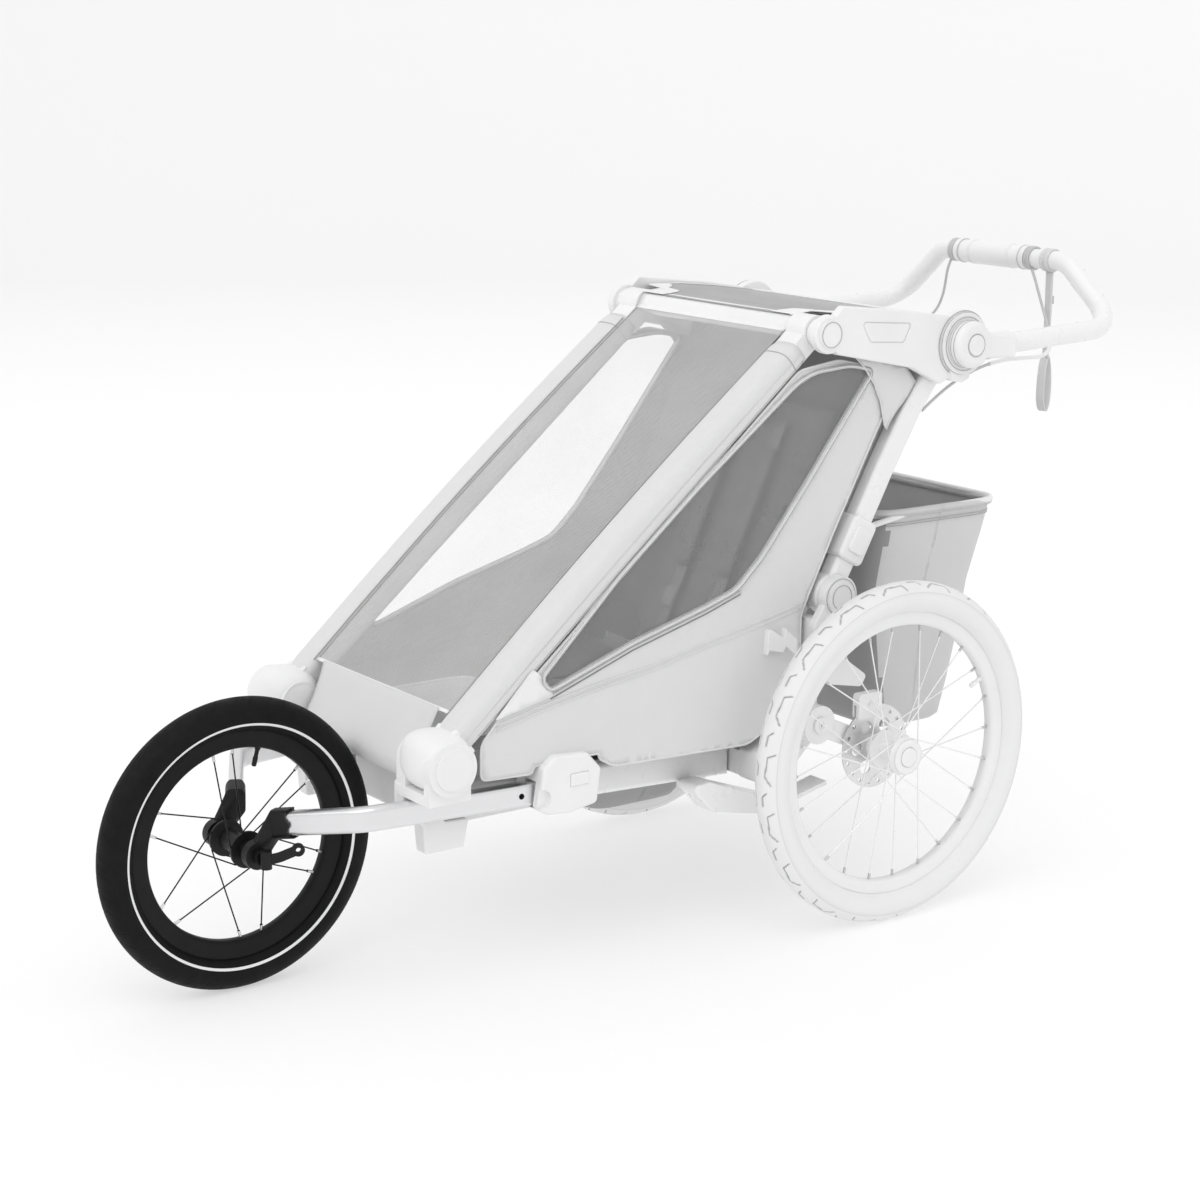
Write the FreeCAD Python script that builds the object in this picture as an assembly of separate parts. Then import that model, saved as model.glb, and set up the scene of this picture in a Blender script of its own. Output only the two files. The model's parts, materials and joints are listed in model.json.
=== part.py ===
"""Child bicycle trailer with its jogging front wheel fitted, one STEP file per sub-part.

Millimetres.  +Z is up, +X is the trailer's left side, -Y is the front.  The shapes are
drawn with Y measured from the rear axle, and export() slides them all so that the origin
is on the ground below the middle of the whole trailer.
"""
import FreeCAD, Part
import math
import os

V = FreeCAD.Vector
ALONG_X = V(1, 0, 0)
ALONG_Z = V(0, 0, 1)

# ---- driving dimensions -------------------------------------------------------------
WHEELBASE = 897.0
HALF_TRACK = 298.0           # middle of a rear tyre from the centre plane
TYRE_WIDTH = 47.0
FRONT_BEAD = 152.5           # 305 mm bead seat diameter
REAR_BEAD = 203.0            # 406 mm bead seat diameter
FRONT_RADIUS = FRONT_BEAD + TYRE_WIDTH
REAR_RADIUS = REAR_BEAD + TYRE_WIDTH
RUNNING = 0.05               # radial clearance of a pin in its bore
PIVOT_PIN = 8.0              # radius of the frame's pivot pins

# pivots of the folding frame, as (Y, Z)
CORNER = (-712.0, 329.0)     # foot of a front pillar
ROOF = (-95.0, 848.0)        # pillar to top member
ELBOW = (128.0, 790.0)       # top member to upright, left open with clearance
KNEE = (-60.0, 474.0)        # upright to chassis
HUB = (158.0, 820.0)         # handlebar to top member
SUSPENSION = (-101.0, 295.0)
REAR_AXLE = (0.0, REAR_RADIUS)
FRONT_AXLE = (-WHEELBASE, FRONT_RADIUS)

# distances from the centre plane
RAIL_X = (142.0, 168.0)
RECEIVER_X = (168.5, 232.0)
PILLAR_X = (172.0, 218.0)
UPRIGHT_X = (196.0, 224.0)
MEMBER_X = (226.0, 240.0)
FABRIC_X = 216.0             # inner face of a side panel
BAR_X = 236.0                # handlebar leg
SWING_X = (232.0, 252.0)

BAR_RADIUS = 15.0
BAR_LEG_END = (480.0, 824.0)     # first bend of the handlebar
BAR_TOP = (476.0, 913.0)         # crossbar of the handlebar
BAR_HALF = 134.0                 # second bend from the centre plane
GRIP_RADIUS = 19.0
GRIP_X = (-95.0, 58.0)

BAG_HALF = 158.0
BAG_RIM_Z = 560.0


# ---- drawing helpers ------------------------------------------------------------------
def arc_path(points, radius, closed=False):
    """Edges along points, with a tangent arc of the given radius at every corner."""
    radii = radius if isinstance(radius, (list, tuple)) else [radius] * len(points)
    count = len(points)
    corners = []
    for i, corner in enumerate(points):
        if not closed and i in (0, count - 1):
            corners.append((corner, corner, None))
            continue
        back = (points[i - 1] - corner).normalize()
        ahead = (points[(i + 1) % count] - corner).normalize()
        half = back.getAngle(ahead) / 2
        reach = radii[i] / math.tan(half)
        bisector = (back + ahead).normalize()
        middle = corner + bisector * (radii[i] / math.sin(half) - radii[i])
        corners.append((corner + back * reach, corner + ahead * reach, middle))
    edges = []
    for i, (start, end, middle) in enumerate(corners):
        if middle is not None:
            edges.append(Part.Arc(start, middle, end).toShape())
        if closed or i < count - 1:
            following = corners[(i + 1) % count][0]
            if end.distanceToPoint(following) > 1e-6:
                edges.append(Part.LineSegment(end, following).toShape())
    return Part.Wire(edges)


def solid_of(shape):
    return shape if shape.ShapeType == "Solid" else shape.Solids[0]


def fuse(first, *others):
    return first.multiFuse(list(others)).removeSplitter()


def pipe(points, radius, bend):
    """Round rod along points with tangent bends."""
    path = arc_path(points, bend)
    start = (points[1] - points[0]).normalize()
    ring = Part.Wire([Part.Circle(points[0], start, radius).toShape()])
    return solid_of(path.makePipeShell([ring], True, False))


def tube(points, radius, wall, bend):
    """Round tube, open at both ends."""
    return pipe(points, radius, bend).cut(pipe(points, radius - wall, bend))


def disc(centre, radius, x0, x1):
    """Cylinder along X at a (Y, Z) centre."""
    return Part.makeCylinder(radius, x1 - x0, V(x0, centre[0], centre[1]), ALONG_X)


def box(x, y, z):
    """Box from three (low, high) pairs."""
    size = [span[1] - span[0] for span in (x, y, z)]
    return Part.makeBox(*size, V(x[0], y[0], z[0]))


def plate(outline, x0, x1, corner=0.0):
    """Plate parallel to the side of the trailer, from (Y, Z) points."""
    points = [V(x0, y, z) for y, z in outline]
    if corner:
        wire = arc_path(points, corner, closed=True)
    else:
        wire = Part.makePolygon(points + points[:1])
    return Part.Face(wire).extrude(V(x1 - x0, 0, 0))


def soften(shape, radius):
    """Round the outline edges of a plate's two faces."""
    low, high = shape.BoundBox.XMin, shape.BoundBox.XMax
    rims = []
    for edge in shape.Edges:
        span = edge.BoundBox
        flat = span.XLength < 1e-4
        if flat and min(abs(span.XMin - low), abs(span.XMin - high)) < 1e-4:
            rims.append(edge)
    return shape.makeFillet(radius, rims)


def band(points, width):
    """Outline of a strip of the given width along (Y, Z) points."""
    sides = ([], [])
    for i, (y, z) in enumerate(points):
        y0, z0 = points[max(i - 1, 0)]
        y1, z1 = points[min(i + 1, len(points) - 1)]
        length = math.hypot(y1 - y0, z1 - z0)
        ny, nz = -(z1 - z0) / length, (y1 - y0) / length
        sides[0].append((y + ny * width / 2, z + nz * width / 2))
        sides[1].append((y - ny * width / 2, z - nz * width / 2))
    return sides[0] + sides[1][::-1]


def between(start, end, distance):
    """The (Y, Z) point at a distance from start towards end."""
    length = math.hypot(end[0] - start[0], end[1] - start[1])
    part = distance / length
    return (start[0] + (end[0] - start[0]) * part, start[1] + (end[1] - start[1]) * part)


def mirrored(shape):
    return shape.mirror(V(0, 0, 0), ALONG_X)


def pair(shape):
    """The left part and its mirror image, as separate solids."""
    return Part.makeCompound(shape.Solids + mirrored(shape).Solids)


def spun(profile, centre, x_middle=0.0):
    """Ring turned from (X, radius) points about a wheel's axle."""
    points = [V(x + x_middle, 0, radius) for x, radius in profile]
    face = Part.Face(Part.makePolygon(points + points[:1]))
    ring = solid_of(face.revolve(V(0, 0, 0), ALONG_X, 360))
    ring.translate(V(0, centre[0], centre[1]))
    return ring


def at_angle(centre, radius, degrees, x):
    angle = math.radians(degrees)
    return V(x, centre[0] + radius * math.cos(angle), centre[1] + radius * math.sin(angle))


def round_button(centre, radius, x0, x1):
    """Disc with its outer rim rounded."""
    button = disc(centre, radius, x0, x1)
    rim_edges = [edge for edge in button.Edges if edge.BoundBox.XMin > x1 - 0.1]
    return button.makeFillet(1.5, rim_edges)


def rod(start, end, radius):
    along = end - start
    return Part.makeCylinder(radius, along.Length, start, along)


# ---- wheels -----------------------------------------------------------------------------
def tyre(bead, centre, x_middle):
    """Hollow tyre: a round casing that narrows to the beads on the rim."""
    half = TYRE_WIDTH / 2
    wall = 4.0
    middle = bead + half
    steps = 14
    outer, inner = [], []
    for i in range(steps + 1):
        angle = math.radians(-58 + 296 * i / steps)
        outer.append((half * math.cos(angle), middle + half * math.sin(angle)))
        reach = half - wall
        inner.append((reach * math.cos(angle), middle + reach * math.sin(angle)))
    return spun(outer + inner[::-1], centre, x_middle)


def rim(bead, centre, x_middle, depth):
    """Double-walled rim with side flanges that carry the tyre's beads."""
    half = 10.5
    flange = 4.0
    profile = [(-half, bead + flange), (-half, bead - depth + 4), (-half + 4, bead - depth),
               (half - 4, bead - depth), (half, bead - depth + 4), (half, bead + flange),
               (half - 2, bead + flange), (half - 2, bead - 3), (4, bead - 6),
               (-4, bead - 6), (-half + 2, bead - 3), (-half + 2, bead + flange)]
    return spun(profile, centre, x_middle)


def spoke_set(centre, x_middle, rim_radius, flange_radius, flange_x, rim_angles, swing):
    """Spokes from the rim to the flange hole that lies `swing` degrees round from it."""
    spokes = []
    for i, angle in enumerate(rim_angles):
        side = 1 if i % 2 else -1
        turn = swing[i % len(swing)]
        outer = at_angle(centre, rim_radius, angle, x_middle + side * 1.5)
        inner = at_angle(centre, flange_radius, angle + turn, x_middle + side * flange_x)
        spokes.append(rod(inner, outer, 1.0))
        along = (inner - outer).normalize()
        spokes.append(rod(outer + along * 0.2, outer + along * 9, 2.0))
    joined = [spokes[i].fuse(spokes[i + 1]) for i in range(0, len(spokes), 2)]
    return Part.makeCompound([solid_of(spoke) for spoke in joined])


def front_wheel():
    centre = FRONT_AXLE
    pairs = [98 - 60 * i for i in range(6)]
    angles = [middle + offset for middle in pairs for offset in (-6.5, 6.5)]
    hub = spun([(-46, 5.05), (-46, 11), (-31, 13), (-31, 25), (-27, 25), (-24, 14),
                (24, 14), (27, 25), (31, 25), (31, 13), (46, 11), (46, 5.05)], centre)
    rim_part = rim(FRONT_BEAD, centre, 0, 21)
    stem_angle = 75
    stem = rod(at_angle(centre, FRONT_BEAD - 21, stem_angle, 0),
               at_angle(centre, FRONT_BEAD - 48, stem_angle, 0), 3.2)
    return {
        "front_tyre": tyre(FRONT_BEAD, centre, 0),
        "front_rim": Part.makeCompound([rim_part, stem]),
        "front_spokes": spoke_set(centre, 0, FRONT_BEAD - 21, 25.2, 29, angles, (-62, 62)),
        "front_hub": hub,
    }


def brake_rotor(x0):
    """Disc with a ring of round holes and open windows inside it."""
    outer = 62.0
    shape = disc(REAR_AXLE, outer, x0, x0 + 2).cut(disc(REAR_AXLE, 17.0, x0 - 1, x0 + 3))
    cuts = []
    holes = 18
    for i in range(holes):
        spot = at_angle(REAR_AXLE, 54.0, 360 * i / holes, 0)
        cuts.append(disc((spot.y, spot.z), 3.0, x0 - 1, x0 + 3))
    windows = 6
    for i in range(windows):
        spot = at_angle(REAR_AXLE, 34.0, 360 * i / windows, 0)
        cuts.append(disc((spot.y, spot.z), 10.0, x0 - 1, x0 + 3))
    return shape.cut(Part.makeCompound(cuts))


def rear_wheel():
    """The left rear wheel, with its hub, rotor and release button."""
    centre = REAR_AXLE
    count = 24
    angles = [360 * i / count + 2.6 for i in range(count)]
    bore = PIVOT_PIN + RUNNING
    hub = spun([(259, bore), (259, 17), (276, 15), (276, 28), (279, 28), (282, 14),
                (314, 14), (317, 28), (320, 28), (322, 27), (329, 24), (329, 14.3),
                (322, 14.3), (322, bore)], centre)
    rotor = brake_rotor(256.5)
    rotor_carrier = disc(centre, 17.0, 256.5, 259).cut(disc(centre, bore, 250, 262))
    rotor = fuse(rotor, rotor_carrier)
    return {
        "rear_tyre": tyre(REAR_BEAD, centre, HALF_TRACK),
        "rear_rim": rim(REAR_BEAD, centre, HALF_TRACK, 16),
        "rear_spokes": spoke_set(centre, HALF_TRACK, REAR_BEAD - 16, 28.2, 20.5,
                                 angles, (-66, -66, 66, 66)),
        "rear_hub": hub,
        "brake_rotor": rotor,
    }


def wheel_button():
    """Push button in the middle of a rear hub that lets the wheel off its axle."""
    return round_button(REAR_AXLE, 14.0, 325.5, 331.5)


# ---- chassis ----------------------------------------------------------------------------
def side_rail():
    """Flat-sided tube that slopes a little down to the rear."""
    outline = [(-676, 237), (-676, 283), (-196, 262), (-196, 217)]
    outer = soften(plate(outline, *RAIL_X), 8)
    wall = 3.0
    hollow = plate([(-680, 240), (-680, 280), (-190, 259), (-190, 220)],
                   RAIL_X[0] + wall, RAIL_X[1] - wall)
    return outer.cut(hollow)


def cross_tubes():
    """Round tubes between the two rails: front, under the seat, and rear."""
    front = tube([V(-142.9, -700, 303), V(142.9, -700, 303)], 10, 2, 1)
    seat = tube([V(1 - RAIL_X[0], -424, 249), V(RAIL_X[0] - 1, -424, 249)], 11, 2, 1)
    rear = tube([V(-187, -155, 250), V(187, -155, 250)], 16, 2.5, 1)
    return Part.makeCompound([front, seat, rear])


def corner_joint():
    """Fork that holds a pillar's foot, with a vertical wheel socket in the leg below it."""
    cheek = disc(CORNER, 36, PILLAR_X[1] + 1, 240)
    cap = disc(CORNER, 27, 240, 243)
    inner = disc(CORNER, 30, 150, PILLAR_X[0] - 1)
    bridge = box((150, 232), (-744, -680), (282, 296))
    web = box((PILLAR_X[1] + 1, 232), (-744, -680), (290, 329))
    inner_web = box((150, PILLAR_X[0] - 1), (-742, -682), (290, 329))
    leg_outline = [(-742, 298), (-742, 262), (-712, 234), (-708, LEG_FOOT_Z),
                   (-648, LEG_FOOT_Z), (-640, 233), (-679, 235), (-679, 298)]
    leg = soften(plate(leg_outline, 143, 167, 4), 2.5)
    pin = disc(CORNER, PIVOT_PIN, 160, 222)
    body = fuse(cheek, cap, inner, bridge, web, inner_web, leg, pin)
    socket = Part.makeCylinder(SOCKET_RADIUS, SOCKET_DEPTH, V(*SOCKET, LEG_FOOT_Z), ALONG_Z)
    return body.cut(socket)


LEG_FOOT_Z = 194.0           # underside of a corner joint's leg
SOCKET = (155.0, -691.0)     # axis of the caster socket in that leg, (X, Y)
SOCKET_RADIUS = 7.0
SOCKET_DEPTH = 50.0


ARM_SECTION = (20.0, 33.0)   # jogging arm: across, and tall
ARM_POINTS = [V(74, -858, 241), V(172, -803, 262), V(204, -548, 264)]


def arm_solid(inset, extra):
    """Swept rounded-rectangle bar of the jogging arm, smaller all round by `inset`."""
    start = (ARM_POINTS[1] - ARM_POINTS[0]).normalize()
    end = (ARM_POINTS[2] - ARM_POINTS[1]).normalize()
    points = [ARM_POINTS[0] - start * extra, ARM_POINTS[1], ARM_POINTS[2] + end * extra]
    path = arc_path(points, 38)
    across = start.cross(ALONG_Z).normalize()
    upward = across.cross(start).normalize()
    half_w = ARM_SECTION[0] / 2 - inset
    half_h = ARM_SECTION[1] / 2 - inset
    corners = [points[0] + across * (sx * half_w) + upward * (sz * half_h)
               for sx, sz in ((-1, -1), (1, -1), (1, 1), (-1, 1))]
    section = arc_path(corners, 7 - inset, closed=True)
    return solid_of(path.makePipeShell([section], True, False))


def jog_arm():
    hollow = arm_solid(0, 0).cut(arm_solid(2.5, 5))
    hole = disc((-585, 264), 4, 180, 230)
    return hollow.cut(hole)


def arm_receiver():
    """Plastic housing bolted outside the rail that takes a jogging arm's rear end."""
    outline = [(-572, 248), (-564, 304), (-546, 318), (-492, 314), (-470, 290),
               (-476, 242), (-520, 235), (-556, 238)]
    body = soften(plate(outline, *RECEIVER_X, 8), 5)
    socket_bar = arm_solid(-0.3, 0.5)
    mouth = box((ARM_POINTS[2].x - 12, ARM_POINTS[2].x + 12), (-600, -558), (246, 283))
    hook = disc((-566, 262), 13, 225, 240)
    window = box((222, 240), (-522, -492), (272, 290))
    return body.cut(Part.makeCompound([socket_bar, mouth, hook, window]))


def receiver_button():
    block = box((226.3, 234.5), (-521.5, -492.5), (272.5, 289.5))
    return block.makeFillet(2, [edge for edge in block.Edges if edge.BoundBox.XMin > 234])


def dropout():
    """Cast fork end: an eye on the axle, an arm, and a fluted sleeve over the jogging arm."""
    eye = disc(FRONT_AXLE, 19, 47, 61)
    direction = (ARM_POINTS[1] - ARM_POINTS[0]).normalize()
    across = direction.cross(ALONG_Z).normalize()
    upward = across.cross(direction).normalize()
    start = ARM_POINTS[0] - direction * 22
    sleeve_length = 28
    ring = [start + across * (sx * 13.5) + upward * (sz * 20)
            for sx, sz in ((-1, -1), (1, -1), (1, 1), (-1, 1))]
    section = arc_path(ring, 9, closed=True)
    sleeve = Part.Face(section).extrude(direction * sleeve_length)
    root = V(54, FRONT_AXLE[0] + 4, FRONT_AXLE[1] + 4)
    slope = (start - root).normalize()
    root_ring = [root + ALONG_X * (sx * 6.5) + ALONG_X.cross(slope) * (sz * 15)
                 for sx, sz in ((1, -1), (-1, -1), (-1, 1), (1, 1))]
    arm = Part.makeLoft([arc_path(root_ring, 5, closed=True), section], True, True)
    flutes = [rod(start + direction * (sleeve_length + 4) + across * 13.5 + upward * s * 11
                  - across * 30,
                  start + direction * (sleeve_length + 4) + across * 13.5 + upward * s * 11
                  + across * 30, 9)
              for s in (-1, 1)]
    body = fuse(eye, arm, sleeve).cut(Part.makeCompound([arm_solid(-0.02, 0)] + flutes))
    return solid_of(body.cut(disc(FRONT_AXLE, 5.05, 40, 70)))


def front_axle():
    """Skewer through the front hub, with its nut on the right and cam housing on the left."""
    skewer = disc(FRONT_AXLE, 5.0, -72, 72)
    nut = disc(FRONT_AXLE, 11, -72, -61.5)
    housing = disc(FRONT_AXLE, 10, 61.5, 72)
    return fuse(skewer, nut, housing)


def quick_release_lever():
    """Cam lever: a barrel on a near-vertical pin and a curved blade with a hole in its tip."""
    y, z = FRONT_AXLE
    barrel = Part.makeCylinder(7.5, 24, V(80, y, z - 12), ALONG_Z)
    points = [V(82, y + 1, z), V(88, y + 16, z + 3), V(93, y + 40, z + 10)]
    path = arc_path(points, 30)
    start = (points[1] - points[0]).normalize()
    across = start.cross(ALONG_Z).normalize()
    corners = [points[0] + across * (sx * 3.0) + ALONG_Z * (sz * 7.0)
               for sx, sz in ((-1, -1), (1, -1), (1, 1), (-1, 1))]
    blade = solid_of(path.makePipeShell([arc_path(corners, 2.5, closed=True)], True, False))
    tip = Part.makeCylinder(8.5, 6, points[2] - across * 3, across)
    hole = Part.makeCylinder(3.5, 20, points[2] - across * 10, across)
    return solid_of(fuse(barrel, blade, tip).cut(hole))


def rear_bracket():
    """Casting on a rail's rear end: suspension pivot, rear tube and post all meet here."""
    outline = [(-196, 218), (-196, 262), (-150, 286), (-126, 318), (-80, 318), (-70, 292),
               (-92, 262), (-135, 222)]
    body = soften(plate(outline, 187, 226, 6), 3)
    tongue = box((RAIL_X[0] + 4, 188), (-195.5, -172), (222, 258))
    boss = disc(SUSPENSION, 22, 225, SWING_X[0] - 0.5)
    pin = disc(SUSPENSION, 9, 225, 254)
    head = disc(SUSPENSION, 12, SWING_X[1] + 0.5, 256)
    body = fuse(body, tongue, boss, pin, head)
    rear_tube = Part.makeCylinder(16.02, 400, V(-200, -155, 250), ALONG_X)
    return solid_of(body.cut(rear_tube))


def fold_joint():
    """Fixed half of the fold hinge: outer cheek, hinge pin, and the post under it."""
    cheek = soften(plate(band([KNEE, (-95, 420)], 40), 226, 240, 14), 3)
    housing = disc(KNEE, 30, 226, 241)
    cap = disc(KNEE, 24, 241, 244)
    post = box((211, 228), (-105, -87), (318, 446))
    pin = disc(KNEE, PIVOT_PIN, 198, 227)
    brake_boss = disc(PARKING_PIVOT, 12, 226, 243.5)
    brake_pin = disc(PARKING_PIVOT, 5, 240, 256)
    parts = [housing, cap, post, pin, brake_boss, brake_pin]
    return fuse(cheek, *parts)


PARKING_PIVOT = (-96.0, 376.0)


def parking_brake_lever():
    """Foot lever of the parking brake, beside the left rear wheel."""
    outline = [(-116, 372), (-92, 396), (-70, 396), (-14, 356), (-24, 340), (-84, 352)]
    blade = soften(plate(outline, 244, 251.5, 6), 2)
    return solid_of(blade.cut(disc(PARKING_PIVOT, 5.05, 240, 260)))


def swing_arm():
    """Suspension arm with the stub axle that carries a rear wheel."""
    web = soften(plate(band([SUSPENSION, REAR_AXLE], 30), *SWING_X, 6), 3)
    eye = disc(SUSPENSION, 28, *SWING_X)
    axle_eye = disc(REAR_AXLE, 22, *SWING_X)
    stub = disc(REAR_AXLE, PIVOT_PIN, SWING_X[1] - 1, 322)
    shoulder = disc(REAR_AXLE, 13, SWING_X[1] - 1, 256)
    body = fuse(web, eye, axle_eye, stub, shoulder)
    return solid_of(body.cut(disc(SUSPENSION, 9 + RUNNING, 230, 254)))


def brake_caliper():
    body = box((252.2, 266), (-40, 4), (296, 333))
    body = body.makeFillet(5, [edge for edge in body.Edges if edge.BoundBox.XLength > 5])
    slot = box((255.2, 259.8), (-50, 20), (290, 316))
    lug = box((252.2, 255), (-34, -8), (262, 300))
    return solid_of(body.cut(slot).fuse(lug).removeSplitter())


def leaf_spring():
    """Flat spring under the chassis, from its housing beside the rail back to the arm."""
    path = [(-240, 194), (-200, 184), (-140, 178), (-60, 196)]
    strip = plate(band(path, 6), 190, 224)
    outline = [(-312, 232), (-270, 189), (-168, 168), (-160, 192), (-256, 226), (-276, 234)]
    housing = soften(plate(outline, 186, 226, 7), 3)
    bridge = box((RAIL_X[1] + 0.2, 190), (-292, -266), (214, 226))
    return solid_of(fuse(strip, housing, bridge))


# ---- folding frame ----------------------------------------------------------------------
def pillar():
    """Front pillar: a padded tube with an eye at each end."""
    low = between(CORNER, ROOF, 38)
    high = between(ROOF, CORNER, 36)
    middle = soften(plate(band([low, high], 31), *PILLAR_X), 11)
    foot = plate(band([CORNER, between(CORNER, ROOF, 45)], 40), *PILLAR_X)
    foot_eye = disc(CORNER, 31, *PILLAR_X)
    neck = plate(band([between(ROOF, CORNER, 45), ROOF], 30), PILLAR_X[0], 212)
    top_eye = disc(ROOF, 24, PILLAR_X[0], 212)
    body = fuse(middle, foot, foot_eye, neck, top_eye)
    bores = [disc(CORNER, PIVOT_PIN + RUNNING, 160, 230),
             disc(ROOF, PIVOT_PIN + RUNNING, 160, 230)]
    return solid_of(body.cut(Part.makeCompound(bores)))


def top_crossbar():
    """Tube between the pillars' top eyes."""
    return tube([V(-172, *ROOF), V(172, *ROOF)], 12, 2, 1)


def top_member():
    """Side member of the roof, ending in the large ring under the handlebar's hub."""
    outline = [(-92, 868), (-72, 886), (60, 872), (150, 858), (165, 820), (150, 776),
               (117, 764), (61, 791), (-80, 819), (-90, 830)]
    blade = plate(outline, *MEMBER_X, 6)
    eyes = [disc(ROOF, 27, *MEMBER_X), disc(HUB, 48, *MEMBER_X)]
    body = soften(fuse(blade, *eyes), 3)
    ring = disc(HUB, 44.5, MEMBER_X[1] - 1, 246)
    cap = disc(ROOF, 20, MEMBER_X[1] - 1, 243)
    spacer = disc(ROOF, 20, 213, MEMBER_X[0] + 1)
    pin = disc(ROOF, PIVOT_PIN, 174, 215)
    open_pin = disc(ELBOW, 5, 200, MEMBER_X[0] + 1)
    hub_pin = disc(HUB, 10, 245, 262)
    groove = plate([(-39, 863), (58, 856), (43, 828), (-21, 832)], 238, 241, 5)
    panel = plate([(-37, 861), (55, 854), (41.5, 830), (-19.5, 834)], 237.5, 239.4, 4)
    lug = plate([(132, 792), (172, 792), (170, 770), (154, 764), (134, 768)], 228, 244, 3)
    body = fuse(body, ring, lug, cap, spacer, pin, open_pin, hub_pin)
    return fuse(body.cut(groove), panel)


def rear_beam():
    """Roof tube between the two top members, behind the child's head."""
    return tube([V(-225.5, 150, 838), V(225.5, 150, 838)], 10, 2, 1)


def upright():
    """Rear upright, from the fold hinge to the open elbow under the roof member."""
    knee_side = between(*LATCH_AXIS, 10)
    blade = plate(band([knee_side, LATCH_AXIS[1], (84, 730), ELBOW], 35), *UPRIGHT_X)
    eye = disc(KNEE, 30, *UPRIGHT_X)
    top = disc(ELBOW, 22, *UPRIGHT_X)
    body = fuse(blade, eye, top)
    body = soften(body, 7)
    bores = [disc(KNEE, PIVOT_PIN + RUNNING, 190, 230), disc(ELBOW, ELBOW_HOLE, 190, 230)]
    return solid_of(body.cut(Part.makeCompound(bores)))


ELBOW_HOLE = 16.0            # the open pivot's clearance hole round a 5 mm pin
LATCH_AXIS = (KNEE, (34.0, 646.0))


def fold_latch():
    """Sliding collar above the fold hinge that locks the upright."""
    low = between(*LATCH_AXIS, 52)
    high = between(*LATCH_AXIS, 118)
    outer = soften(plate(band([low, high], 48), 190, 230, 9), 5)
    grip = soften(plate(band([between(*LATCH_AXIS, 66), between(*LATCH_AXIS, 104)], 30),
                        228, 234, 6), 2)
    start = between(*LATCH_AXIS, 20)
    end = between(*LATCH_AXIS, 150)
    channel = plate(band([start, end], 37), UPRIGHT_X[0] - 0.5, UPRIGHT_X[1] + 0.5)
    return solid_of(fuse(outer, grip).cut(channel))


# ---- handlebar --------------------------------------------------------------------------
LEG_START = (212.0, 812.0)
LEG_DIRECTION = V(0, BAR_LEG_END[0] - LEG_START[0], BAR_LEG_END[1] - LEG_START[1])


def bar_route():
    half = [V(BAR_X, *LEG_START), V(BAR_X, *BAR_LEG_END), V(BAR_HALF, *BAR_TOP)]
    return half + [V(-point.x, point.y, point.z) for point in half[::-1]]


def handlebar_tube():
    return tube(bar_route(), BAR_RADIUS, 2.0, [1, 52, 45, 45, 52, 1])


def handlebar_hub():
    """Round hub outside the top member, with an arm and a sleeve that hold the bar's leg."""
    dome = disc(HUB, 34, 247, 268)
    dome = dome.makeFillet(9, [edge for edge in dome.Edges if edge.BoundBox.XMin > 267])
    arm = soften(plate([(150, 840), (242, 830), (242, 796), (150, 801)], 247, 266, 6), 5)
    sleeve = Part.makeCylinder(19, 44, V(BAR_X, 209, 811.9), LEG_DIRECTION)
    body = fuse(dome, arm, sleeve)
    leg = Part.makeCylinder(BAR_RADIUS + 0.02, 80, V(BAR_X, *LEG_START), LEG_DIRECTION)
    cavities = [disc(HUB, 10 + RUNNING, 240, 263), disc(HUB, 15.3, 262.5, 270), leg]
    return solid_of(body.cut(Part.makeCompound(cavities)))


def hub_button():
    """Round button in a handlebar hub that frees the handlebar to turn."""
    return round_button(HUB, 15.0, 264.5, 270)


def brake_grip():
    """Twist grip of the brake, turning on the handlebar's crossbar."""
    low, high = GRIP_X
    middle = (low + high) / 2
    profile = [(low, BAR_RADIUS + RUNNING), (low, 18.5), (low + 10, 18.5), (low + 12, 17.5),
               (middle - 30, GRIP_RADIUS), (middle + 30, GRIP_RADIUS), (high - 12, 17.5),
               (high - 10, 18.5), (high, 18.5), (high, BAR_RADIUS + RUNNING)]
    return spun(profile, BAR_TOP)


STRAP_X = (92.0, 110.0)


def wrist_strap():
    """Safety strap: a collar on the bar and webbing that hangs down to a sewn hand loop."""
    collar = spun([(STRAP_X[0], BAR_RADIUS + 0.02), (STRAP_X[0], 18), (STRAP_X[1], 18),
                   (STRAP_X[1], BAR_RADIUS + 0.02)], BAR_TOP)
    webbing = box((93.5, 108.5), (BAR_TOP[0] - 3, BAR_TOP[0] + 3), (760, 896.5))
    loop = box((93.5, 108.5), (BAR_TOP[0] - 13, BAR_TOP[0] + 13), (676, 761))
    return solid_of(fuse(collar, webbing, loop))


CABLE_RADIUS = 2.2
CABLE_END = [V(204, 236, 778), V(208, 186, 764), V(211, 142, 744), V(212, 110, 723)]
LEFT_CABLE = [V(70, 468, 897), V(78, 467, 885), V(88, 467, 862), V(103, 466, 832),
              V(124, 458, 803), V(149, 436, 784), V(170, 398, 777), V(185, 348, 780),
              V(196, 292, 783)] + CABLE_END
RIGHT_CABLE = [V(-108, 468, 897), V(-117, 470, 883), V(-127, 477, 862), V(-139, 484, 836),
               V(-152, 482, 808), V(-166, 458, 786), V(-178, 412, 776), V(-188, 354, 778),
               V(-197, 294, 783)] + [V(-point.x, point.y, point.z) for point in CABLE_END]


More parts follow.
